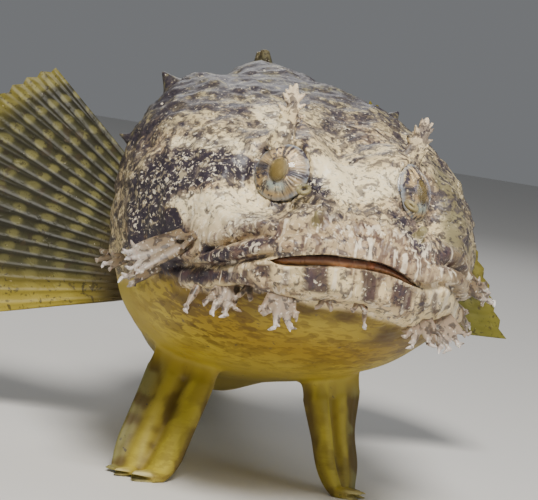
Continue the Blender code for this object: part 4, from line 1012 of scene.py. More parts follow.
def paint_skin(skin, kept):
    """The base colour of each point, with painted shade in the mouth, in creases and under the lips, and how
    thick its dark speckles, pale speckles and painted glints lie.
    """
    points = points_of(skin)
    s, side = unplaced(points)
    z = points[:, 2]
    pattern = Pattern(points, normals_of(skin), s, side)
    below_mouth = mouth_at(s) + mouth_droop(side) - z
    middle = wide_at(s)
    over = (z - middle) / np.maximum(top(s) - middle, 1.0)
    under = (middle - z) / np.maximum(middle - belly(s), 1.0)
    coarse, mid, small = grain(points, 9.0, 35), grain(points, 4.0, 36), grain(points, 1.8, 37)
    edge = lip_edge(s) + 1.4
    chin = np.where(s < MOUTH_CORNER, smooth(below_mouth + 0.5 * small, edge - 0.6, edge + 0.8),
                    smooth(mouth_at(s) - z + 0.8 * mid, -1.0, 3.0))
    chin *= 1 - smooth(s, 88, 128) * (1 - smooth(under, 0.5, 0.9))
    slate, brown, cream = (pattern.patches(group) for group in (SLATE, BROWN_AND_SHADE_PATCHES, CREAM))
    grey, fold = pattern.patches(GREY, 6.0), pattern.patches(LIP_CREASE_SHADE, 1.6)
    dots = pattern.lines(DARK_LINES) * smooth(small + 0.5 * grain(points, 1.0, 38), -0.15, 0.25)
    bars = pattern.patches(LIP_BARS, 1.5)

    colour = np.tile(np.array(PALE), (len(points), 1))
    colour = blend(colour, BLUSH, 0.55 * smooth(coarse + 0.6 * mid, -0.1, 0.8))
    crown = smooth(s + 14 * over, 44, 84) * smooth(over, -0.3, 0.5)
    colour = blend(colour, GREY_GREEN, 0.85 * crown)
    colour = blend(colour, GREY_GREEN, 0.8 * np.maximum(grey, smooth(side, 26, 36) * smooth(z, 46, 56)))
    back = smooth(s, 84, 112)
    blotch = smooth(grain(points, 15.0, 43) + 0.5 * grain(points, 6.0, 44), -0.15, 0.35)
    saddle = smooth(np.sin(s / 11.0 + 0.6 * coarse) + 0.5 * coarse, -0.2, 0.6) * smooth(over, -0.9, 0.2)
    colour = blend(colour, BACK_BROWN, 0.85 * back)
    colour = blend(colour, DEEP_BACK, back * 0.78 * np.maximum(blotch, saddle))
    colour = blend(colour, ROSETTE, back * rosettes(points) * 0.8 * (1 - 0.4 * saddle))
    colour = blend(colour, CREAM_SKIN, 0.9 * cream)
    colour = blend(colour, INDIGO, 0.8 * slate * (1 - 0.6 * cream))
    colour = blend(colour, BROWN_SKIN, 0.92 * brown)
    # Painted shade in the crease of the fold over the upper lip.
    colour = blend(colour, CREASE_SHADE_DARK, 0.85 * fold)
    # Dark dots, and painted shade along the groove down the snout's midline.
    colour = blend(colour, DARK_DOTS_AND_GROOVE_SHADE, 0.85 * dots)
    lips = 1 - smooth(s, MOUTH_CORNER - 3, MOUTH_CORNER + 4)
    lower_lip = lips * smooth(below_mouth, -0.2, 0.8) * (1 - smooth(below_mouth, edge - 0.6, edge + 0.6))
    upper_lip = lips * smooth(-below_mouth, 0.0, 0.6) * (1 - smooth(-below_mouth, 6.0, 13.0))
    colour = blend(colour, LIP_TAN, 0.5 * upper_lip)
    colour = blend(colour, LIP_BAR, 0.9 * bars * lower_lip)

    depth = smooth(under, 0.25, 0.85) * (1 - smooth(s, 10, 30)) + smooth(s, 24, 46)
    yellow = np.tile(np.array(OCHRE), (len(points), 1))
    yellow = blend(yellow, STRAW, np.clip(depth * (0.8 + 0.3 * mid), 0, 1))
    yellow = blend(yellow, CHIN_SIDE, 0.6 * smooth(side, 12, 28) * (1 - 0.5 * smooth(under, 0.7, 1.0)))
    yellow = blend(yellow, BELLY_REAR, 0.5 * smooth(s, 50, 80))
    reticule = chin * (1 - smooth(s, 34, 62)) * (1 - 0.4 * smooth(under, 0.8, 1.0))
    # Painted shade on the chin just under the lower lip and its leaves.
    lip_shade = np.where(s < MOUTH_CORNER + 6, hump(below_mouth - edge - 1.5, 2.8), 0)
    yellow = blend(yellow, UNDER_LIP_SHADE, np.clip(0.8 * lip_shade * (0.8 + 0.6 * mid), 0, 0.9))
    # Brown patches on the chin; under the mouth's corner they are painted shade under its leaves.
    yellow = blend(yellow, CHIN_BROWN_AND_SHADE, 0.75 * brown)
    colour = colour * (1 - chin[:, None]) + yellow * chin[:, None]
    colour = blend(colour, TAIL_BELLY, 0.5 * smooth(s, 100, 140) * smooth(under, 0.3, 0.9))

    dark = (0.60 + 0.14 * mid + 0.22 * slate + 0.24 * brown - 0.15 * cream + 0.12 * crown - 0.14 * back
            - 0.1 * grey)
    # The crease over the upper lip also takes more dark flecks, as part of its painted shade.
    dark = np.clip(dark + 0.2 * fold - 0.16 * upper_lip - 0.18 * lower_lip, 0, 1) * (1 - 0.75 * chin)
    light = np.clip(0.54 + 0.1 * slate - 0.1 * brown - 0.12 * grey + 0.15 * cream - 0.14 * crown
                    - 0.08 * back, 0, 1) * (1 - 0.8 * chin)
    streaks = np.clip(upper_lip + 0.9 * lower_lip, 0, 1)
    calm = chin.copy()
    for way in (-1, 1):
        tree, spots, values = kept["limb", way]
        on_limb = 1 - smooth(distances(points, tree, 3.0), 0.5, 2.4)
        held = np.nonzero(on_limb)[0]
        paint, flecks, grown = limb_paint(points[held], spots, values)
        share = (on_limb[held] * grown)[:, None]
        colour[held] = colour[held] * (1 - share) + paint * share
        dark[held] = dark[held] * (1 - share[:, 0]) + flecks * share[:, 0]
        light[held] *= 1 - share[:, 0]
        calm[held] = np.maximum(calm[held], 0.6 * share[:, 0])
        # The eye tentacle turns paler and pinker towards its tip.
        tree, root, lie = kept["tentacle", way]
        reach = np.clip((points - np.array(root)) @ np.array(lie) / TENTACLE_HEIGHT, 0, 1)
        share = (1 - smooth(distances(points, tree, 2.0), 0.2, 0.8)) * smooth(reach, 0.0, 0.9)
        colour = blend(colour, TENTACLE_TIP, 0.7 * share)
        dark = dark * (1 - 0.25 * share)
        for k in range(2):
            share = 1 - smooth(distances(points, kept["nostril", way, k], 2.0), 0.1, 0.6)
            colour = blend(colour, NOSTRIL, 0.8 * share)
            dark = dark * (1 - 0.7 * share)
    # Painted shade on the walls inside the open mouth, darker deeper behind the lips.
    inside = (1 - smooth(distances(points, kept["gape"], 1.0), 0.02, 0.35)) * (s < GAPE_DEPTH + 12)
    colour = blend(colour, GAPE_SHADE, inside * smooth(s - lip_of(side), 0.2, 1.2))
    write_colours(skin, "base_colour", colour)
    write_values(skin, "dark_flecks", dark)
    write_values(skin, "pale_flecks_and_glints", light)
    write_values(skin, "lip_pleats", streaks)
    write_values(skin, "lip_light", streaks * (1 - 0.85 * bars * lower_lip))
    write_values(skin, "smooth_skin", calm)
    write_values(skin, "reticule", reticule)
    write_values(skin, "brown_flecks", back)


def rosettes(points):
    """Soft pale rings and spots a few millimetres wide, in loose rows along the body."""
    size = 8.5
    cell = np.floor(points / size)
    best = np.full(len(points), 9.0)
    for dx in (-1, 0, 1):
        for dy in (-1, 0, 1):
            for dz in (-1, 0, 1):
                here = cell + (dx, dy, dz)
                key = here @ np.array([12.9898, 78.233, 37.719])
                jitter = np.stack([np.abs(np.sin(key * k)) * 43758.5453 % 1.0 for k in (1.0, 1.7, 2.3)], -1)
                best = np.minimum(best, np.linalg.norm(points / size - here - 0.2 - 0.6 * jitter, axis=1))
    return (1 - smooth(best, 0.20, 0.36)) * (0.45 + 0.55 * smooth(best, 0.05, 0.2))


# ---- leaves of skin ----


def leaf_fingers(fingers, width, length, rng, web):
    """Root and tip of each finger of a leaf, across and along it."""
    palm = web * length
    fan = 1.15 - 0.8 * (web - 0.5) / 0.25
    found = []
    for k in range(fingers):
        spread = 0 if fingers == 1 else (k / (fingers - 1) - 0.5) * 2
        angle = fan * spread + rng.uniform(-0.15, 0.15)
        reach = (length - palm) * (1 - 0.3 * abs(spread) + rng.uniform(-0.3, 0.2))
        way = (math.sin(angle), math.cos(angle))
        root = (way[0] * 0.26 * width, palm * 0.8 + way[1] * 0.16 * palm)
        found.append((root, (root[0] + way[0] * reach, root[1] + way[1] * reach)))
    return found


def leaf(name, base, lie, face, width, length, fingers, rng, lobes, thick=1.2, curl=0.12, sunk=0.3, web=0.5,
         pale=0.0):
    """A soft leaf of skin from base, pointing along lie, its flat side towards face, with lobed fingers."""
    lie = lie.normalized()
    across = lie.cross(face).normalized()
    face = across.cross(lie).normalized()

    def at(a, b, lift=0.0):
        return base + across * a + lie * b + face * (curl * b * b / length + lift)

    made = []
    half = 0.22 * width if fingers > 1 else 0.34 * width
    for root, tip in leaf_fingers(fingers, width, length, rng, web):
        start = (0.35 * root[0], -sunk * length)
        slim = max(0.10 * width, 0.5) if fingers > 1 else half
        shares = (0.0, 0.25, 0.5, 0.68, 0.84, 0.95, 1.0)
        lift = lobes.uniform(-0.5, 0.5)
        path = []
        for t in shares:
            mid = (start[0] * (1 - t) ** 2 + 2 * root[0] * t * (1 - t) + tip[0] * t * t,
                   start[1] * (1 - t) ** 2 + 2 * root[1] * t * (1 - t) + tip[1] * t * t)
            path.append(at(*mid, lift * t * t))
        radii = [half, half, 0.75 * half + 0.25 * slim, 0.25 * half + 0.75 * slim, 0.6 * slim, 0.3 * slim,
                 0.06]
        if fingers == 1:
            radii = [half * share for share in (1.0, 1.0, 0.85, 0.5, 0.3, 0.2, 0.08)]
        made.append(tube("finger", path, radii, 16, min(0.5 * thick / half, 1.0), face))
        for _ in range(3 if length > 6 else 2):
            t = lobes.uniform(0.35, 0.9)
            spot = path[3].lerp(path[5], (t - 0.35) / 0.55)
            turn = lobes.choice((-1, 1)) * lobes.uniform(0.7, 1.2)
            way = (path[5] - path[3]).normalized()
            out = (way * math.cos(turn) + way.cross(face) * math.sin(turn)
                   + face * lobes.uniform(-0.7, 0.7)).normalized()
            long = lobes.uniform(0.9, 1.7) * (1.0 if length > 6 else 0.6)
            made.append(tube("lobe", [spot + out * long * t for t in (-0.2, 0.3, 0.7, 1.0)],
                             [0.42, 0.4, 0.28, 0.1], 10))
    made = join_pieces(made, name)
    apply_step(made, "REMESH", mode="VOXEL", voxel_size=VOXEL * MM, use_smooth_shade=True)
    apply_step(made, "SMOOTH", factor=0.5, iterations=1)
    reach = (points_of(made) - np.array(base)) @ np.array(lie) / length
    write_values(made, "reach", np.clip(reach, 0, 1))
    write_values(made, "pale", pale + 0 * reach)
    return made


# Chin leaves: distance from the midline, height, side, width, length, fingers, lean outward.
CHIN_LEAVES = (
    (26.6, 46.4, -1, 2.8, 9.0, 1, 0.25), (22.6, 47.0, -1, 6.6, 8.4, 4, 0.1),
    (19.6, 46.8, -1, 2.8, 4.0, 2, 0.0),
    (14.2, 48.2, -1, 6.8, 9.0, 5, 0.0), (6.2, 47.8, -1, 2.8, 3.8, 2, 0.0), (0.3, 48.0, 1, 2.4, 3.2, 2, 0.0),
    (1.8, 47.4, 1, 1.8, 5.4, 1, 0.0), (8.2, 47.6, 1, 3.0, 3.2, 2, 0.0), (14.6, 47.0, 1, 6.4, 8.2, 4, 0.0),
    (19.8, 47.0, 1, 7.4, 9.6, 5, 0.3), (24.4, 45.6, 1, 4.0, 5.6, 3, 0.1),
)
# Cheek leaves: sides, behind the snout, height, width, length, fingers, and how far back, down and
# outward each lies.
CHEEK_LEAVES = (
    ((-1,), 27.0, 53.4, 8.6, 14.0, 5, 0.15, 0.62, 1.0), ((1,), 28.0, 52.6, 5.6, 8.0, 5, 0.15, 0.42, 1.0),
    ((1,), 21.0, 53.0, 4.4, 7.0, 3, 0.4, 0.3, 1.0), ((-1, 1), 38.0, 46.4, 5.4, 7.6, 3, 0.5, 0.6, 0.8),
    ((-1, 1), 24.0, 54.6, 3.4, 4.4, 2, 0.3, 0.6, 0.8), ((-1, 1), 52.0, 46.0, 4.2, 5.6, 3, 0.7, 0.5, 0.7),
    ((-1, 1), 66.0, 45.0, 3.6, 5.4, 2, 0.8, 0.4, 0.7),
)
LEAF_ROOT = 1.7


def face_leaves():
    """The leaves of skin under the lower lip, at the mouth's corners and along the cheeks, as one."""
    made = []
    rng, lobes = random.Random(7), random.Random(70)
    for k, (across, height, side, width, length, fingers, lean) in enumerate(CHIN_LEAVES):
        base, out = on_face(side, across, height)
        level = Vector((out.x, out.y, 0)).normalized()
        lie = Vector((0, 0, -1)) + level * (0.3 + lean)
        face = Vector((0.35 * level.x - 0.15, -1, 0.2))
        made.append(leaf(f"chin_leaf_{k}", base + level * 0.8, lie, face, width, length, fingers, rng, lobes,
                         thick=1.5, sunk=min(0.36, LEAF_ROOT / length), pale=0.5))
    rng, lobes = random.Random(11), random.Random(110)
    for k, (sides, s, height, width, length, fingers, back, down, outward) in enumerate(CHEEK_LEAVES):
        for side in sides:
            base, out = on_skin(s, side, height=height)
            lie = Vector((outward * side, back, -down))
            face = Vector((0.2 * side, -0.75, 0.6))
            share = rng.uniform(0.92, 1.06)
            web = 0.64 if length > 10 else 0.58
            made.append(leaf(f"cheek_leaf_{side}_{k}", base + out * 0.2, lie, face, width * share,
                             length * share, fingers, rng, lobes, thick=1.5, web=web, pale=0.15))
    return join_pieces(made, "leaves")


# ---- fins ----


def ray_ridge(u, v, count, fork=0.24, wide=0.17):
    """1 on a ray and 0 on the membrane; each ray forks towards its tip."""
    off = (u * count) % 1.0 - 0.5
    split = fork * smooth(v, 0.42, 1.0)
    return np.maximum(hump(off - split, wide), hump(off + split, wide))


def fin_piece(name, point, half_thick, columns, high):
    """A closed fin from its middle surface and half thickness, with its places u and v for each point."""
    grid = np.array([[tuple(point(i / columns, j / high)) for j in range(high + 1)]
                     for i in range(columns + 1)])
    normal = np.cross(np.gradient(grid, axis=0), np.gradient(grid, axis=1))
    normal /= np.maximum(np.linalg.norm(normal, axis=-1, keepdims=True), 1e-9)
    u = np.repeat(np.linspace(0, 1, columns + 1)[:, None], high + 1, 1)
    v = np.repeat(np.linspace(0, 1, high + 1)[None, :], columns + 1, 0)
    half = half_thick(u, v)[..., None]
    sides = [grid + normal * half, grid - normal * half]
    for surface in sides:
        surface[..., 2] = np.maximum(surface[..., 2], 0.0)
    row = high + 1
    total = (columns + 1) * row
    a = (np.arange(columns)[:, None] * row + np.arange(high)[None, :]).ravel()
    faces = [tuple(f) for f in np.stack([a, a + row, a + row + 1, a + 1], 1).tolist()]
    faces += [tuple(total + k for k in reversed(f)) for f in faces]
    edge = [(i, 0) for i in range(columns)] + [(columns, j) for j in range(high)]
    edge += [(i, high) for i in range(columns, 0, -1)] + [(0, j) for j in range(high, 0, -1)]
    ids = [i * row + j for i, j in edge]
    for k, p in enumerate(ids):
        q = ids[(k + 1) % len(ids)]
        faces.append((p, q, total + q, total + p))
    made = mesh_piece(name, np.concatenate([s.reshape(-1, 3) for s in sides]), faces, merge=False)
    return made, np.concatenate([u.ravel()] * 2), np.concatenate([v.ravel()] * 2)


def thin_edge(u, v, ends=0.02):
    """Falls to a third at the free edge and at both ends of a fin, for a soft margin."""
    free = 0.35 + 0.65 * np.sqrt(np.clip((1 - v) / 0.04, 0, 1))
    side = 0.35 + 0.65 * np.sqrt(np.clip(np.minimum(u, 1 - u) / ends, 0, 1))
    return free * side


PECTORAL_RAYS = 18
PECTORAL_LENGTH = 49.0
# Each pectoral: how far its lowest and highest rays sweep back and rise, in degrees.
PECTORAL_LIE = {-1: {"sweep": (8.0, 24.0), "rise": (-14.0, 41.0)},
                1: {"sweep": (9.0, 58.0), "rise": (0.0, 50.0)}}


def pectoral_point(side):
    """The middle surface of a pectoral fin: a cupped fan from the side of the body."""
    lie = PECTORAL_LIE[side]

    def point(u, v):
        root = Vector(placed(np.array(92.0 + 2 * (1 - u)), np.array(side * 18.0), np.array(34.0 + 20.0 * u)))
        sweep = math.radians(lie["sweep"][0] + (lie["sweep"][1] - lie["sweep"][0]) * max(u, 0) ** 0.75)
        rise = math.radians(lie["rise"][0] + (lie["rise"][1] - lie["rise"][0]) * u)
        way = Vector((side * math.cos(sweep) * math.cos(rise), math.sin(sweep) * math.cos(rise),
                      math.sin(rise)))
        middle = max(math.sin(math.pi * min(max(u, 0), 1)), 0)
        reach = (PECTORAL_LENGTH * (0.96 + 0.08 * middle ** 0.8 - 0.28 * u * u) + 11.0) * v
        cup = 4.0 * middle * v * v + 0.5 * math.sin(u * 15.0 + 2.0) * v ** 3
        scallop = 1.0 - 0.022 * v * (1 - abs(2 * ((u * PECTORAL_RAYS) % 1) - 1))
        return root + way * reach * scallop + Vector((0, -cup, 0))

    return point


def fin_colours(u, v, rays, base, dark, pale, bands, seed, slant=0.0):
    """Rows of pale spots across dark rays; bands is how many rows there are."""
    spot = np.stack([u * rays, v * bands, 0 * u], -1)
    wander = grain(spot, 3.0, seed)
    row = np.abs((v * bands + 0.35 * wander + slant * u) % 1.0 - 0.5)
    across = np.abs((u * rays) % 1.0 - 0.5)
    dots = (1 - smooth(np.hypot(row / 0.30, (0.5 - across) / 0.42), 0.55, 1.0)) * smooth(v, 0.12, 0.25)
    colour = np.tile(np.array(base), (len(u), 1))
    colour = blend(colour, dark, 0.75 * ray_ridge(u, v, rays) * (1 - dots))
    colour = blend(colour, dark, 0.5 * smooth(grain(spot, 1.6, seed + 1), 0.1, 0.7))
    return blend(colour, pale, dots * (0.55 + 0.35 * wander))


def pectoral_fin(name, side):
    def half_thick(u, v):
        fleshy = 1.6 * (1 - np.minimum(v / 0.42, 1)) ** 1.4
        ridge = ray_ridge(u, v, PECTORAL_RAYS)
        return 0.5 * (0.66 + 0.5 * (1 - v)) * (0.7 + 0.55 * ridge) * thin_edge(u, v, 0.01) + fleshy

    made, u, v = fin_piece(name, pectoral_point(side), half_thick, PECTORAL_RAYS * 14, 90)
    colour = fin_colours(u, v, PECTORAL_RAYS, PECTORAL_BASE, PECTORAL_RAY, PECTORAL_SPOT, 9.0, 61)
    edge = smooth(v, 0.86, 0.99)
    colour = blend(colour, PECTORAL_MARGIN, 0.5 * edge)
    low = 1 - smooth(u, 0.02, 0.22)
    colour = blend(colour, PECTORAL_YELLOW if side < 0 else PECTORAL_MOSS, 0.7 * low)
    colour = blend(colour, PECTORAL_ROOT, 1 - smooth(v, 0.16, 0.34))
    paint(made, colour, 0.35 + 0 * u, 0.2 + 0 * u)
    return made


def along_back(s, z, side=0.0):
    """A point over or under the midline of the body."""
    return Vector(placed(np.array(float(s)), np.array(float(side)), np.array(float(z))))


def soft_dorsal_fin(name):
    """The long fin along the back, in slanting bars."""
    start, end, height, rays, lean = 113.0, 222.0, 15.0, 24, 0.45

    def point(u, v):
        s = start + (end - start) * u
        ends = min(u / 0.08, (1 - u) / 0.05, 1.0)
        tall = height * (0.35 + 0.65 * math.sin(min(ends, 1) * math.pi / 2))
        tall *= 1 - 0.05 * v * abs(2 * ((u * rays) % 1) - 1)
        z = float(top(s)) - 2.5
        sway = 1.6 * math.sin(u * 2 * math.pi * 2.2) * v
        return along_back(s + lean * tall * v, z + (tall + 2.5) * v, sway)

    def half_thick(u, v):
        ridge = ray_ridge(u, v, rays)
        return (0.5 * (0.7 + 1.0 * ridge) * (1 - 0.4 * v) + 0.5 * (1 - v)) * thin_edge(u, v)

    made, u, v = fin_piece(name, point, half_thick, rays * 14, 44)
    colour = fin_colours(u, v, rays, DORSAL_BASE, DORSAL_RAY, DORSAL_SPOT, 3.2, 71, slant=5.5)
    bars = smooth(np.sin(u * 31.0 + v * 2.6 + 0.8 * np.sin(u * 9)), 0.1, 0.8)
    paint(made, blend(colour, DORSAL_BAR, 0.55 * bars), 0.4 + 0 * u, 0.25 + 0 * u)
    return made


def spiny_dorsal_fin(name):
    """Three short spines wrapped in thick skin."""
    start, end, spines = 96.0, 109.0, 3

    def point(u, v):
        s = start + (end - start) * u
        peak = 0.62 + 0.38 * abs(math.sin(math.pi * (u * spines)))
        tall = 4.6 * peak * (1 - 0.35 * abs(2 * u - 0.8))
        return along_back(s + 5.0 * v, float(top(s)) - 1.0 + (tall + 3.4) * v)

    def half_thick(u, v):
        return ((0.5 * (2.4 + 1.4 * ray_ridge(u, v, spines, 0.0)) * (1 - 0.5 * v) + 1.2 * (1 - v))
                * thin_edge(u, v, 0.08))

    made, u, v = fin_piece(name, point, half_thick, 60, 30)
    colour = np.tile(np.array(SPINE_BASE), (len(u), 1))
    paint(made, blend(colour, SPINE_TIP, 0.5 * smooth(v, 0.7, 1.0)), 0.6 + 0 * u, 0.4 + 0 * u)
    return made


def anal_fin(name):
    """A low fin under the tail, its edge on the floor."""
    start, end, rays = 148.0, 219.0, 18

    def point(u, v):
        s = start + (end - start) * u
        ends = max(min(u / 0.12, (1 - u) / 0.06, 1.0), 0.0)
        low = float(belly(s))
        tall = (low + 0.12) * (0.3 + 0.7 * math.sin(ends * math.pi / 2))
        sway = -3.0 * v * v * math.sin(math.pi * u)
        return along_back(s + 0.5 * tall * v, low + 2.2 - (tall + 2.2) * v, sway)

    def half_thick(u, v):
        ridge = ray_ridge(u, v, rays)
        return (0.5 * (0.8 + 0.9 * ridge) * (1 - 0.2 * v) + 0.4 * (1 - v)) * thin_edge(u, v)

    made, u, v = fin_piece(name, point, half_thick, rays * 14, 30)
    colour = fin_colours(u, v, rays, ANAL_BASE, ANAL_RAY, TAIL_SPOT, 2.4, 81)
    paint(made, blend(colour, ANAL_MARGIN, 0.5 * smooth(v, 0.6, 1.0)), 0.3 + 0 * u, 0.2 + 0 * u)
    return made


def caudal_fin(name):
    """The rounded tail fin, its lower corner near the floor."""
    rays, length = 14, 34.0

    def point(u, v):
        spread = 2 * u - 1
        angle = math.radians(30 * spread)
        z0 = 17.5 + 6.6 * spread
        reach = 3.0 + length * (0.78 + 0.22 * math.cos(spread * 1.4)) * v
        reach *= 1 - 0.02 * v * abs(2 * ((u * rays) % 1) - 1)
        s = STANDARD_LENGTH - 3.0 + reach * math.cos(angle)
        z = z0 + reach * math.sin(angle) * (0.92 if spread > 0 else 0.70)
        return along_back(s, max(z, -0.1), 1.6 * math.sin(v * 2.6) * v)

    def half_thick(u, v):
        ridge = ray_ridge(u, v, rays)
        return (0.5 * (0.7 + 0.9 * ridge) * (1 - 0.3 * v) + 1.2 * (1 - v) ** 2) * thin_edge(u, v)

    made, u, v = fin_piece(name, point, half_thick, rays * 14, 70)
    colour = fin_colours(u, v, rays, CAUDAL_BASE, CAUDAL_RAY, TAIL_SPOT, 5.0, 91)
    paint(made, colour, 0.35 + 0 * u, 0.2 + 0 * u)
    return made


FOOT_RISE = 0.9           # height of the middle of a foot
# Each pelvic fin: where its root's middle and its tip lie, as (side, y, z), and how much wider its web is.
PELVIC = {
    -1: {"root": (16.8, 62.0, 26.0), "knee": (21.6, 56.5, 13.0), "foot": (27.6, 48.5, FOOT_RISE),
         "toe": (32.5, 45.0, FOOT_RISE), "web": -0.5},
    1: {"root": (16.5, 62.0, 26.0), "knee": (17.6, 56.5, 13.0), "foot": (20.4, 50.5, FOOT_RISE),
        "toe": (24.5, 47.0, FOOT_RISE), "web": -4.6},
}


def pelvic_path(side, t):
    """The middle of the limb at t from 0 at its root to 1 at its toe."""
    spots = [Vector(p) for p in (PELVIC[side][k] for k in ("root", "knee", "foot", "toe"))]
    ends = (0.0, 0.42, 0.82, 1.0)
    for k in range(3):
        if t <= ends[k + 1] or k == 2:
            f = (t - ends[k]) / (ends[k + 1] - ends[k])
            before = spots[max(k - 1, 0)]
            after = spots[min(k + 2, 3)]
            m0, m1 = (spots[k + 1] - before) / 2, (after - spots[k]) / 2
            if k == 0:
                m0 = spots[1] - spots[0]
            if k == 2:
                m1 = spots[3] - spots[2]
            h = (2 * f ** 3 - 3 * f * f + 1, f ** 3 - 2 * f * f + f, -2 * f ** 3 + 3 * f * f, f ** 3 - f * f)
            place = spots[k] * h[0] + m0 * h[1] + spots[k + 1] * h[2] + m1 * h[3]
            break
    return Vector((side * place.x - ORIGIN_X, place.y - ORIGIN_Y, max(place.z, FOOT_RISE)))


def pelvic_fin(name, side, steps=84, across=38):
    """A limb of a thick leading ray, a groove and a web with a second ray, ending in a foot with toes."""
    a = 0.5 - 0.5 * np.cos(np.linspace(0, math.pi, across + 1))
    lead = 2.5 * np.sqrt(np.maximum(1 - ((a - 0.20) / 0.21) ** 2, 0))
    second = 1.5 * np.sqrt(np.maximum(1 - ((a - 0.62) / 0.15) ** 2, 0))
    web = 0.62 * np.sqrt(np.clip((1 - a) / 0.05, 0, 1)) * np.sqrt(np.clip(a / 0.02, 0, 1))
    fine = 0.18 * np.clip(np.sin(a * 60), 0, 1) * smooth(a, 0.74, 0.8)
    ridge = (lead ** 4 + second ** 4 + (web + fine) ** 4) ** 0.25
    points, ts, spots = [], [], []
    for i in range(steps + 1):
        t = -0.10 + 1.10 * i / steps
        here = pelvic_path(side, max(t, 0)) - Vector((0, 3.0, 14.0)) * min(t, 0)
        run = pelvic_path(side, min(t + 0.02, 1)) - pelvic_path(side, max(t - 0.02, 0))
        run.normalize()
        outward = Vector((side, 0.25, 0.0))
        outward = (outward - run * outward.dot(run)).normalized()
        flat = smoothed(t, 0.55, 0.9)
        outward = (outward * (1 - flat) + Vector((side * 0.75, 0.66, 0)) * flat).normalized()
        face = run.cross(outward).normalized() * side
        if face.y > 0:
            face = -face
        face = (face * (1 - flat) + Vector((0, 0, 1)) * flat).normalized()
        width = 15.5 + PELVIC[side]["web"] * smoothed(t, 0.05, 0.5) - 3.4 * smoothed(t, 0.6, 1.0)
        thin = ((1.12 - 0.62 * smoothed(t, 0.3, 1.0))
                * (0.55 + 0.45 * math.sqrt(max(1 - max(t - 0.97, 0) / 0.03, 0))))
        # Towards the tip the web draws back between the rays, so that each ray ends in a toe.
        back = 3.2 * smoothed(t, 0.86, 1.0) * (1 - hump(a - 0.20, 0.13)) * (1 - 0.8 * hump(a - 0.62, 0.09))
        for way, order in ((1, range(across + 1)), (-1, range(across, -1, -1))):
            for j in order:
                p = (here + outward * float(a[j] - 0.5) * width + face * way * float(ridge[j]) * thin
                     - run * float(back[j]))
                points.append((p.x, p.y, max(p.z, 0.0)))
                ts.append(t)
                spots.append(a[j])
    around = 2 * (across + 1)
    faces = []
    for i in range(steps):
        for j in range(around):
            k = (j + 1) % around
            faces.append((i * around + j, i * around + k, (i + 1) * around + k, (i + 1) * around + j))
    faces.append(tuple(range(around - 1, -1, -1)))
    faces.append(tuple(range(steps * around, (steps + 1) * around)))
    return mesh_piece(name, points, faces), points, np.stack([ts, spots], -1)


def nearest_values(places, points, values):
    """Carries values from the points that a piece was made from to its own points, which were merged."""
    tree = KDTree(len(points))
    for k, p in enumerate(points):
        tree.insert(p, k)
    tree.balance()
    return np.array([values[tree.find(Vector(p))[1]] for p in places])


def paint(piece, colour, dark, pale, calm=0.35):
    """Keeps the base colour of a fin or limb and how thick its flecks lie."""
    write_colours(piece, "base_colour", np.clip(colour, 0, 1))
    write_values(piece, "dark_flecks", np.clip(dark, 0, 1))
    write_values(piece, "pale_flecks_and_glints", np.clip(pale, 0, 1))
    for absent in ("lip_pleats", "lip_light", "reticule"):
        write_values(piece, absent, 0 * dark)
    write_values(piece, "brown_flecks", 1 + 0 * dark)
    write_values(piece, "smooth_skin", calm + 0 * dark)


# ---- eyes and mouth ----

IRIS_HEIGHT = 5.5         # of the middle of the iris over the centre of the eyeball
IRIS_EDGE = 6.05
IRIS_RIM = 3.4            # height of its edge
CORNEA_THICK = 0.14
CORNEA_FOOT = 2.2         # height of the clear dome's edge over the centre of the eyeball


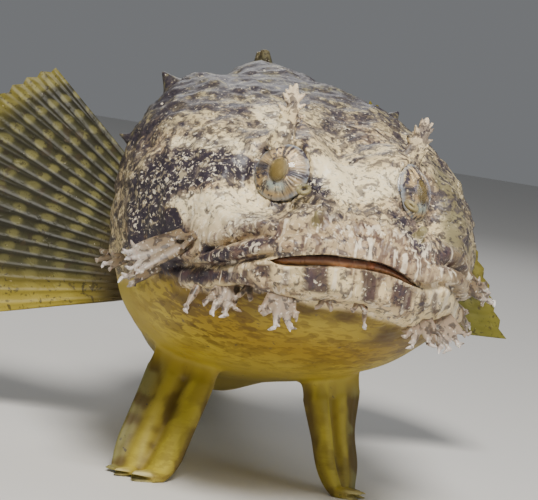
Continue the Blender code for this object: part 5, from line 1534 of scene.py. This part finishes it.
def iris_ball(name, side):
    """The coloured ball of an eye: a ribbed iris in the colours of the skin round a pupil painted dull gold
    as eyeshine.
    """
    axis = eye_axis(side)
    rings, under, around = 90, 12, 200
    fall = IRIS_RIM - (IRIS_RIM + 1.0) * np.arange(1, under + 1) / under
    r = np.concatenate([IRIS_EDGE * (np.arange(1, rings + 1) / rings),
                        np.sqrt((EYE_RADIUS - 0.22) ** 2 - fall ** 2)])
    angle = np.linspace(0, 2 * math.pi, around, endpoint=False)
    radius, theta = np.meshgrid(r, angle, indexing="ij")
    x, y = radius * np.cos(theta), radius * np.sin(theta)
    oval = np.hypot(x / PUPIL[0], y / PUPIL[1])
    dome = 2.0 + (IRIS_HEIGHT - 2.0) * np.sqrt(np.clip(1 - (radius / 6.6) ** 2, 0, 1))
    dome[rings:] = fall[:, None]
    rings += under
    lens = smooth(oval, 1.04, 0.97)
    ribs = 0.05 * np.sin(theta * 44 + 2 * np.sin(theta * 7)) * smooth(oval, 1.1, 1.6)
    height = (dome + 0.22 * np.sqrt(np.clip(1 - oval ** 2, 0, 1)) * lens - 0.16 * hump(oval - 1.05, 0.07)
              + ribs)
    # Local x runs level and local y runs up the eye.
    up = Vector((0, 0, 1))
    level = up.cross(axis).normalized()
    rise = axis.cross(level).normalized()
    centre = eye_centre(side)
    points = [tuple(centre + axis * (IRIS_HEIGHT + 0.22))]
    points += [tuple(centre + level * float(a) + rise * float(b) + axis * float(c))
               for a, b, c in zip(x.ravel(), y.ravel(), height.ravel())]
    points.append(tuple(centre - axis * 2.0))
    faces = [(0, 1 + j, 1 + (j + 1) % around) for j in range(around)]
    for i in range(rings - 1):
        for j in range(around):
            k = (j + 1) % around
            faces.append((1 + i * around + j, 1 + (i + 1) * around + j,
                          1 + (i + 1) * around + k, 1 + i * around + k))
    last = len(points) - 1
    faces += [(last, 1 + (rings - 1) * around + (j + 1) % around, 1 + (rings - 1) * around + j)
              for j in range(around)]
    made = mesh_piece(name, points, faces)
    place = points_of(made) - np.array(centre)
    a, b = place @ np.array(level), place @ np.array(rise)
    away = np.hypot(a / PUPIL[0], b / PUPIL[1])
    turned = np.arctan2(b, a)
    reach = np.hypot(a, b)
    flat = np.stack([np.cos(turned) * 5, np.sin(turned) * 5, reach * 0.25], -1)
    # Radial streaks, darkest straight above and below the pupil and in a line through it from side to side.
    streak = smooth(grain(flat, 0.55, 21) + 0.5 * grain(flat, 0.3, 22), -0.05, 0.35)
    colour = np.tile(np.array(IRIS_CREAM), (len(place), 1))
    colour = blend(colour, IRIS_BROWN, 0.6 * smooth(grain(flat, 0.9, 23), -0.2, 0.5))
    # A pale blue painted highlight below the pupil, between its dark streaks.
    colour = blend(colour, IRIS_BLUE_HIGHLIGHT, 0.5 * smooth(-b, 1.8, 3.0) * (1 - smooth(-b, 3.6, 5.0))
                   * (1 - smooth(np.abs(a), 1.2, 3.0)))
    colour = blend(colour, STREAK_BELOW, 0.95 * smooth(streak + 0.25, 0.3, 1.0) * smooth(-b, 1.4, 2.6)
                   * (1 - smooth(np.abs(a), 2.6, 4.6)))
    colour = blend(colour, STREAK_ABOVE, 0.9 * smooth(streak + 0.2, 0.3, 1.0) * smooth(b, 2.0, 2.8)
                   * (1 - smooth(np.abs(a), 1.4, 3.0)))
    colour = blend(colour, STREAK_LEVEL, 0.95 * hump(b + 0.05 * a, 1.0) * smooth(np.abs(a), 1.9, 2.5))
    colour = blend(colour, STREAK_ROUND, 0.5 * streak * smooth(away, 1.2, 1.6))
    colour = blend(colour, PUPIL_RIM, 0.8 * hump(away - 1.08, 0.08))
    # The pupil is painted eyeshine, dull gold, darker towards its edge.
    eyeshine = np.tile(np.array(PUPIL_EYESHINE), (len(place), 1))
    eyeshine = blend(eyeshine, PUPIL_EYESHINE_EDGE, 0.6 * smooth(away, 0.5, 1.0))
    inner = 1 - smooth(away, 0.96, 1.03)
    colour = colour * (1 - inner[:, None]) + eyeshine * inner[:, None]
    # A pale painted reflection of the clear dome's rim, round the edge of the iris.
    colour = blend(colour, DOME_RIM_REFLECTION, 0.6 * hump(reach - 5.9, 0.5))
    write_colours(made, "base_colour", np.clip(colour, 0, 1))
    write_values(made, "pupil", inner)
    return made


def cornea(name, side):
    """The clear dome over an eye, a thin shell."""
    axis = eye_axis(side)
    made = ball(name, eye_centre(side), EYE_RADIUS - 0.03, axis, 96, 64)
    work = bmesh.new()
    work.from_mesh(made.data)
    centre = eye_centre(side) * MM
    behind = [f for f in work.faces if (f.calc_center_median() - centre).dot(axis) < CORNEA_FOOT * MM]
    bmesh.ops.delete(work, geom=behind, context="FACES")
    work.to_mesh(made.data)
    work.free()
    apply_step(made, "SOLIDIFY", thickness=CORNEA_THICK * MM, offset=-1.0)
    return made


def mouth_ribbon(name):
    """The soft skin just behind the lips, tan below and brown higher up, with a dark painted shadow of the
    upper lip along its top, and its small fold at the middle.
    """
    spots, above, below = (np.array(column) for column in zip(*GAPE))
    sides = np.linspace(spots[0] + 0.4, spots[-1] - 0.4, 141)
    rows = 12
    points = []
    for side in sides:
        depth = 1.5
        s = float(lip_of(side)) + depth
        open_share = (1 - depth / GAPE_DEPTH) ** 1.3
        line = float(mouth_at(s - depth) + mouth_droop(side)) - 0.125 * depth
        low = line - float(np.interp(side, spots, below)) * open_share - 0.25
        high = line + float(np.interp(side, spots, above)) * open_share + 0.25
        for j in range(rows + 1):
            t = j / rows
            bulge = 0.45 * math.sin(math.pi * t) + 0.08 * math.sin(side * 5 + 2 * math.sin(side * 2))
            bulge += 0.7 * smoothed(0.75 - abs(side - 0.6), 0.0, 0.75) * math.sin(math.pi * t)
            points.append((side - ORIGIN_X, s - bulge - ORIGIN_Y, low + (high - low) * t))
    count = len(points)
    points += [(x, y + 1.2, z) for x, y, z in points]
    row = rows + 1
    faces = []
    for i in range(len(sides) - 1):
        for j in range(rows):
            a, b = i * row + j, (i + 1) * row + j
            faces.append((a, b, b + 1, a + 1))
            faces.append((count + a + 1, count + b + 1, count + b, count + a))
    edge = [(i, 0) for i in range(len(sides) - 1)] + [(len(sides) - 1, j) for j in range(rows)]
    edge += [(i, rows) for i in range(len(sides) - 1, 0, -1)] + [(0, j) for j in range(rows, 0, -1)]
    ids = [i * row + j for i, j in edge]
    for k, p in enumerate(ids):
        q = ids[(k + 1) % len(ids)]
        faces.append((p, q, count + q, count + p))
    made = mesh_piece(name, points, faces)
    place = points_of(made)
    side = place[:, 0] + ORIGIN_X
    line = mouth_at(lip_of(side)) + mouth_droop(side)
    low = np.interp(side, spots, below)
    share = (place[:, 2] - line + low) / np.maximum(low + np.interp(side, spots, above), 0.3)
    colour = blend(np.tile(np.array(MOUTH_TAN), (len(place), 1)), MOUTH_BROWN, smooth(share, 0.3, 0.6))
    # Painted shadow of the upper lip along the top of the lining.
    colour = blend(colour, MOUTH_TOP_SHADOW, smooth(share, 0.6, 0.85))
    colour = blend(colour, MOUTH_FOLD, hump(side - 0.6, 0.7) * (1 - smooth(share, 0.7, 1.0)))
    write_colours(made, "base_colour", colour)
    return made


# ---- finishes ----


def speckle_group():
    """Irregular flecks: a mask that covers about Density of the surface, in flecks of Size millimetres."""
    group = bpy.data.node_groups.new("speckles", "ShaderNodeTree")
    for name, default in (("Density", 0.5), ("Size", 1.0), ("Soft", 0.08), ("Seed", 0.0), ("Stretch", 1.0)):
        socket = group.interface.new_socket(name, in_out="INPUT", socket_type="NodeSocketFloat")
        socket.default_value = default
    group.interface.new_socket("Mask", in_out="OUTPUT", socket_type="NodeSocketFloat")
    nodes, link = group.nodes, group.links.new
    given, result = nodes.new("NodeGroupInput"), nodes.new("NodeGroupOutput")
    place = nodes.new("ShaderNodeTexCoord")
    per_size = nodes.new("ShaderNodeMath")
    per_size.operation = "DIVIDE"
    per_size.inputs[0].default_value = 1 / MM
    link(given.outputs["Size"], per_size.inputs[1])
    drawn = nodes.new("ShaderNodeCombineXYZ")
    drawn.inputs["X"].default_value = 1.0
    drawn.inputs["Y"].default_value = 1.0
    link(given.outputs["Stretch"], drawn.inputs["Z"])
    long = nodes.new("ShaderNodeVectorMath")
    long.operation = "MULTIPLY"
    link(place.outputs["Object"], long.inputs[0])
    link(drawn.outputs["Vector"], long.inputs[1])
    scaled = nodes.new("ShaderNodeVectorMath")
    scaled.operation = "SCALE"
    link(long.outputs["Vector"], scaled.inputs[0])
    link(per_size.outputs["Value"], scaled.inputs["Scale"])
    noise = nodes.new("ShaderNodeTexNoise")
    noise.noise_dimensions = "4D"
    noise.inputs["Scale"].default_value = 0.5
    noise.inputs["Detail"].default_value = 2.5
    noise.inputs["Roughness"].default_value = 0.55
    noise.inputs["Distortion"].default_value = 0.6
    link(scaled.outputs["Vector"], noise.inputs["Vector"])
    link(given.outputs["Seed"], noise.inputs["W"])
    low = nodes.new("ShaderNodeMapRange")
    low.inputs["To Min"].default_value = 0.78
    low.inputs["To Max"].default_value = 0.30
    link(given.outputs["Density"], low.inputs["Value"])
    high = nodes.new("ShaderNodeMath")
    high.operation = "ADD"
    link(low.outputs["Result"], high.inputs[0])
    link(given.outputs["Soft"], high.inputs[1])
    mask = nodes.new("ShaderNodeMapRange")
    mask.interpolation_type = "SMOOTHSTEP"
    link(noise.outputs["Fac"], mask.inputs["Value"])
    link(low.outputs["Result"], mask.inputs["From Min"])
    link(high.outputs["Value"], mask.inputs["From Max"])
    link(mask.outputs["Result"], result.inputs["Mask"])
    return group


class Finish:
    """A material with one plain shader, and short ways to build its nodes."""

    def __init__(self, name, **constants):
        self.material = bpy.data.materials.new(name)
        self.material.use_nodes = True
        self.tree = self.material.node_tree
        self.shader = self.tree.nodes["Principled BSDF"]
        for socket, value in constants.items():
            self.shader.inputs[socket.replace("_", " ")].default_value = value

    def link(self, out, into):
        self.tree.links.new(out, into)

    def attribute(self, name):
        node = self.tree.nodes.new("ShaderNodeAttribute")
        node.attribute_name = name
        return node

    def math(self, operation, a, b):
        node = self.tree.nodes.new("ShaderNodeMath")
        node.operation = operation
        for k, value in enumerate((a, b)):
            if isinstance(value, (int, float)):
                node.inputs[k].default_value = value
            else:
                self.link(value, node.inputs[k])
        return node.outputs["Value"]

    def speckles(self, density, size, soft=0.08, seed=0.0, stretch=1.0):
        node = self.tree.nodes.new("ShaderNodeGroup")
        node.node_tree = SPECKLES
        for name, value in (("Density", density), ("Size", size), ("Soft", soft), ("Seed", seed),
                            ("Stretch", stretch)):
            if isinstance(value, (int, float)):
                node.inputs[name].default_value = value
            else:
                self.link(value, node.inputs[name])
        return node.outputs["Mask"]

    def mix(self, share, a, b):
        node = self.tree.nodes.new("ShaderNodeMix")
        node.data_type = "RGBA"
        for name, value in (("Factor", share), ("A", a), ("B", b)):
            socket = [s for s in node.inputs if s.name == name and s.enabled][0]
            if isinstance(value, tuple):
                socket.default_value = (*value, 1.0)
            elif isinstance(value, float):
                socket.default_value = value
            else:
                self.link(value, socket)
        return [s for s in node.outputs if s.enabled][0]

    def bump(self, height, distance, strength=1.0, normal=None):
        node = self.tree.nodes.new("ShaderNodeBump")
        node.inputs["Distance"].default_value = distance * MM
        node.inputs["Strength"].default_value = strength
        self.link(height, node.inputs["Height"])
        if normal is not None:
            self.link(normal, node.inputs["Normal"])
        return node.outputs["Normal"]


SPECKLES = speckle_group()


def skin_finish(name, **constants):
    """Painted skin: a base colour with fine dark flecks, and pale flecks with painted glints among them,
    where the paint calls for them.
    """
    made = Finish(name, **constants)
    base = made.attribute("base_colour").outputs["Color"]
    dark = made.attribute("dark_flecks").outputs["Fac"]
    pale = made.attribute("pale_flecks_and_glints").outputs["Fac"]
    pleats = made.attribute("lip_pleats").outputs["Fac"]
    lit = made.attribute("lip_light").outputs["Fac"]
    calm = made.attribute("smooth_skin").outputs["Fac"]
    net = made.attribute("reticule").outputs["Fac"]
    brown = made.attribute("brown_flecks").outputs["Fac"]
    for size, seed, share in ((2.8, 41.0, 0.6), (1.5, 42.0, 0.6)):
        fleck = made.math("MULTIPLY", made.speckles(0.56, size, 0.06, seed, 2.2), net)
        base = made.mix(made.math("MULTIPLY", fleck, share), base, NET_BROWN)
    soft = made.math("MULTIPLY", made.speckles(dark, 3.2, 0.14, 3.0), 0.35)
    colour = made.mix(soft, base, made.mix(brown, SOFT_SLATE, SOFT_EARTH))
    for size, edge, seed, share, slate, earth in DARK_FLECKS:
        fleck = made.speckles(made.math("ADD", made.math("MULTIPLY", dark, 0.88), 0.05), size, edge, seed)
        colour = made.mix(made.math("MULTIPLY", fleck, share), colour, made.mix(brown, slate, earth))
    # Pale flecks; the finest near-white ones are painted glints of light.
    for size, seed, share, ink in PALE_FLECKS_AND_GLINTS:
        fleck = made.speckles(made.math("MULTIPLY", pale, 0.74), size, 0.09, seed)
        colour = made.mix(made.math("MULTIPLY", fleck, share), colour, ink)
    strips = made.math("MULTIPLY", made.speckles(0.55, 1.3, 0.08, 5.0, 0.14), pleats)
    colour = made.mix(made.math("MULTIPLY", strips, 0.72), colour, PLEAT_DARK)
    pale_strips = made.math("MULTIPLY", made.speckles(0.46, 0.9, 0.07, 9.0, 0.14), lit)
    colour = made.mix(made.math("MULTIPLY", pale_strips, 0.8), colour, PLEAT_PALE)
    made.link(colour, made.shader.inputs["Base Color"])
    rough = made.speckles(0.5, 1.2, 0.3, 11.0)
    uneven = made.math("MULTIPLY", made.speckles(0.5, 0.8, 0.35, 12.0), made.math("SUBTRACT", 1.0, calm))
    dull = made.math("ADD", made.math("MULTIPLY", rough, 0.2),
                     made.math("ADD", 0.42, made.math("MULTIPLY", calm, 0.14)))
    made.link(dull, made.shader.inputs["Roughness"])
    coarse = made.math("MULTIPLY", made.speckles(0.5, 2.2, 0.5, 14.0), made.math("SUBTRACT", 1.0, calm))
    made.link(made.bump(uneven, 0.26, normal=made.bump(coarse, 0.5)), made.shader.inputs["Normal"])
    return made.material


def make_finishes():
    """The materials of the skin, leaves, eyes, mouth and floor."""
    found = {}
    found["skin"] = skin_finish("toadfish_skin", Specular_IOR_Level=0.38)
    found["fin"] = skin_finish("toadfish_fin", Specular_IOR_Level=0.25)
    flap = Finish("leaf_skin", Roughness=0.42, Coat_Weight=0.2, Coat_Roughness=0.3, Subsurface_Weight=0.08,
                  Subsurface_Scale=0.002)
    reach = flap.attribute("reach").outputs["Fac"]
    tip = flap.math("POWER", reach, 4.0)
    body = flap.mix(flap.attribute("pale").outputs["Fac"], LEAF_BROWN, LEAF_PALE)
    colour = flap.mix(tip, body, LEAF_TIP)
    dusk = flap.math("MULTIPLY", flap.speckles(0.56, 0.8, 0.1, 4.0),
                     flap.math("SUBTRACT", 0.95, flap.math("MULTIPLY", tip, 0.6)))
    colour = flap.mix(flap.math("MULTIPLY", dusk, 0.95), colour, LEAF_DUSK)
    colour = flap.mix(flap.math("MULTIPLY", flap.speckles(0.40, 0.45, 0.09, 8.0), 0.6), colour, LEAF_FLECK)
    flap.link(colour, flap.shader.inputs["Base Color"])
    flap.link(flap.bump(flap.speckles(0.5, 0.8, 0.4, 6.0), 0.06), flap.shader.inputs["Normal"])
    found["leaf"] = flap.material

    iris = Finish("iris", Coat_Weight=0.0)
    pupil = iris.attribute("pupil").outputs["Fac"]
    around = iris.math("SUBTRACT", 1.0, pupil)
    shade = iris.mix(iris.math("MULTIPLY", iris.speckles(0.5, 0.9, 0.06, 31.0), around),
                     iris.attribute("base_colour").outputs["Color"], IRIS_DUSK)
    shade = iris.mix(iris.math("MULTIPLY", iris.speckles(0.40, 0.6, 0.09, 33.0), around), shade, IRIS_FLECK)
    iris.link(shade, iris.shader.inputs["Base Color"])
    iris.link(iris.math("ADD", iris.math("MULTIPLY", pupil, 0.15), 0.45), iris.shader.inputs["Roughness"])
    found["iris"] = iris.material

    clear = Finish("cornea", Roughness=0.02, IOR=1.33, Transmission_Weight=1.0)
    clear.shader.inputs["Base Color"].default_value = (0.97, 0.985, 1.0, 1)
    through = clear.tree.nodes.new("ShaderNodeBsdfTransparent")
    edge_reflection = clear.tree.nodes.new("ShaderNodeBsdfDiffuse")
    edge_reflection.inputs["Color"].default_value = (*DOME_EDGE_REFLECTION, 1)
    ways = clear.tree.nodes.new("ShaderNodeLightPath")
    slant = clear.tree.nodes.new("ShaderNodeLayerWeight")
    slant.inputs["Blend"].default_value = 0.5
    edge = slant.outputs["Facing"]
    # The dome is plain clear where it is seen on edge, with a pale rim that is a painted reflection.
    plain = clear.math("MAXIMUM", ways.outputs["Is Shadow Ray"],
                       clear.math("MINIMUM", clear.math("MULTIPLY", edge, 1.8), 1.0))
    rim = clear.math("MULTIPLY", clear.math("SUBTRACT", 1.0, ways.outputs["Is Shadow Ray"]),
                     clear.math("MULTIPLY", clear.math("POWER", edge, 7.0), 0.5))
    both, faint = clear.tree.nodes.new("ShaderNodeMixShader"), clear.tree.nodes.new("ShaderNodeMixShader")
    out = clear.tree.nodes["Material Output"]
    for mixer, share, first, second in ((both, plain, clear.shader, through), (faint, rim, both, edge_reflection)):
        clear.link(share, mixer.inputs[0])
        clear.link(first.outputs[0], mixer.inputs[1])
        clear.link(second.outputs[0], mixer.inputs[2])
    clear.link(faint.outputs[0], out.inputs["Surface"])
    found["cornea"] = clear.material

    lining = Finish("mouth_lining", Roughness=0.34, Coat_Weight=0.3, Subsurface_Weight=0.1,
                    Subsurface_Scale=0.002)
    lining.link(lining.attribute("base_colour").outputs["Color"], lining.shader.inputs["Base Color"])
    found["mouth"] = lining.material

    floor = Finish("floor", Roughness=0.7)
    floor.shader.inputs["Base Color"].default_value = (*FLOOR_GREY, 1)
    found["floor"] = floor.material
    return found


# ---- stage ----

HEAD_PLACE = (0.0, -0.08, 0.05)
# Lamps: name, place, what each points at, size across, power and colour, in metres and watts.
LAMPS = (
    ("key", (-0.10, -0.62, 0.72), HEAD_PLACE, 0.30, 12.0, (1.0, 0.97, 0.92)),
    ("fill", (0.75, -0.55, 0.45), HEAD_PLACE, 0.6, 1.6, (0.92, 0.96, 1.0)),
    ("back", (0.1, 0.75, 0.55), (0, 0.05, 0.04), 0.5, 1.6, (1.0, 1.0, 1.0)),
)
ROOM_COLOUR = (0.86, 0.89, 0.93, 1)
ROOM_LIGHT = 0.2
FLOOR_SIZE = 6.0


def lamp(name, place, target, size, power, colour):
    """A round soft lamp at a place, turned to its target."""
    light = bpy.data.lights.new(name, "AREA")
    light.shape = "DISK"
    light.size = size
    light.energy = power
    light.color = colour
    made = bpy.data.objects.new(name, light)
    bpy.context.scene.collection.objects.link(made)
    made.location = place
    made.rotation_euler = (Vector(target) - Vector(place)).to_track_quat("-Z", "Y").to_euler()
    return made


def make_stage(finishes):
    """The plain floor, the pale room and its lamps."""
    bpy.ops.object.select_all(action="DESELECT")
    bpy.ops.mesh.primitive_plane_add(size=FLOOR_SIZE)
    floor = bpy.context.object
    floor.name = "floor"
    floor.data.materials.append(finishes["floor"])
    world = bpy.data.worlds.new("room")
    world.use_nodes = True
    world.node_tree.nodes["Background"].inputs["Color"].default_value = ROOM_COLOUR
    world.node_tree.nodes["Background"].inputs["Strength"].default_value = ROOM_LIGHT
    bpy.context.scene.world = world
    for row in LAMPS:
        lamp(*row)


def make_camera():
    """The camera where the photograph was taken from."""
    eye, right, up, forward = view_frame()
    data = bpy.data.cameras.new("view")
    made = bpy.data.objects.new("view", data)
    bpy.context.scene.collection.objects.link(made)
    turn = Matrix((right, up, -forward)).transposed()
    made.matrix_world = Matrix.Translation(eye * MM) @ turn.to_4x4()
    data.sensor_fit = "HORIZONTAL"
    data.sensor_width = 36.0
    data.lens = VIEW_FOCAL * 36.0 / PICTURE[0]
    data.shift_x = -VIEW_SHIFT[0] / PICTURE[0]
    data.shift_y = VIEW_SHIFT[1] / PICTURE[0]
    data.clip_start = 0.01
    data.clip_end = 20.0
    bpy.context.scene.camera = made


FLESH = ("head", "lower_jaw", "throat", "torso", "tail_front", "tail_rear",
         "pelvic_fin_right", "pelvic_fin_left", "eye_tentacle_right", "eye_tentacle_left")


def main():
    """The fish over its solid frame, its finishes, the stage and the camera."""
    finishes = make_finishes()
    skin, kept = make_skin()
    paint_skin(skin, kept)
    dress(skin, finishes["skin"], "skin", *FLESH)
    dress(face_leaves(), finishes["leaf"], "skin")
    dress(mouth_ribbon("mouth_lining"), finishes["mouth"], "skin")
    for side, word in ((-1, "right"), (1, "left")):
        dress(iris_ball("iris_" + word, side), finishes["iris"], "eye", "eye_" + word)
        dress(cornea("cornea_" + word, side), finishes["cornea"], "eye")
        dress(pectoral_fin("pectoral_" + word, side), finishes["fin"], "skin", "pectoral_fin_" + word)
    for name, maker in (("soft_dorsal", soft_dorsal_fin), ("spiny_dorsal", spiny_dorsal_fin),
                        ("anal", anal_fin), ("caudal", caudal_fin)):
        dress(maker(name), finishes["fin"], "skin", name + "_fin")
    make_stage(finishes)
    make_camera()


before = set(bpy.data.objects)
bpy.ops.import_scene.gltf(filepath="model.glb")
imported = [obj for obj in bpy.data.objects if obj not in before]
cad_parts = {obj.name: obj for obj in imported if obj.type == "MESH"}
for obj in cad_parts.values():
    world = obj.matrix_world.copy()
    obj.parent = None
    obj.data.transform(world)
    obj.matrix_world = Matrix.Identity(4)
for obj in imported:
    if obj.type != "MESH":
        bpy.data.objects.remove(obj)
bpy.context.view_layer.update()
bpy.ops.object.select_all(action="DESELECT")
main()
bpy.context.view_layer.update()
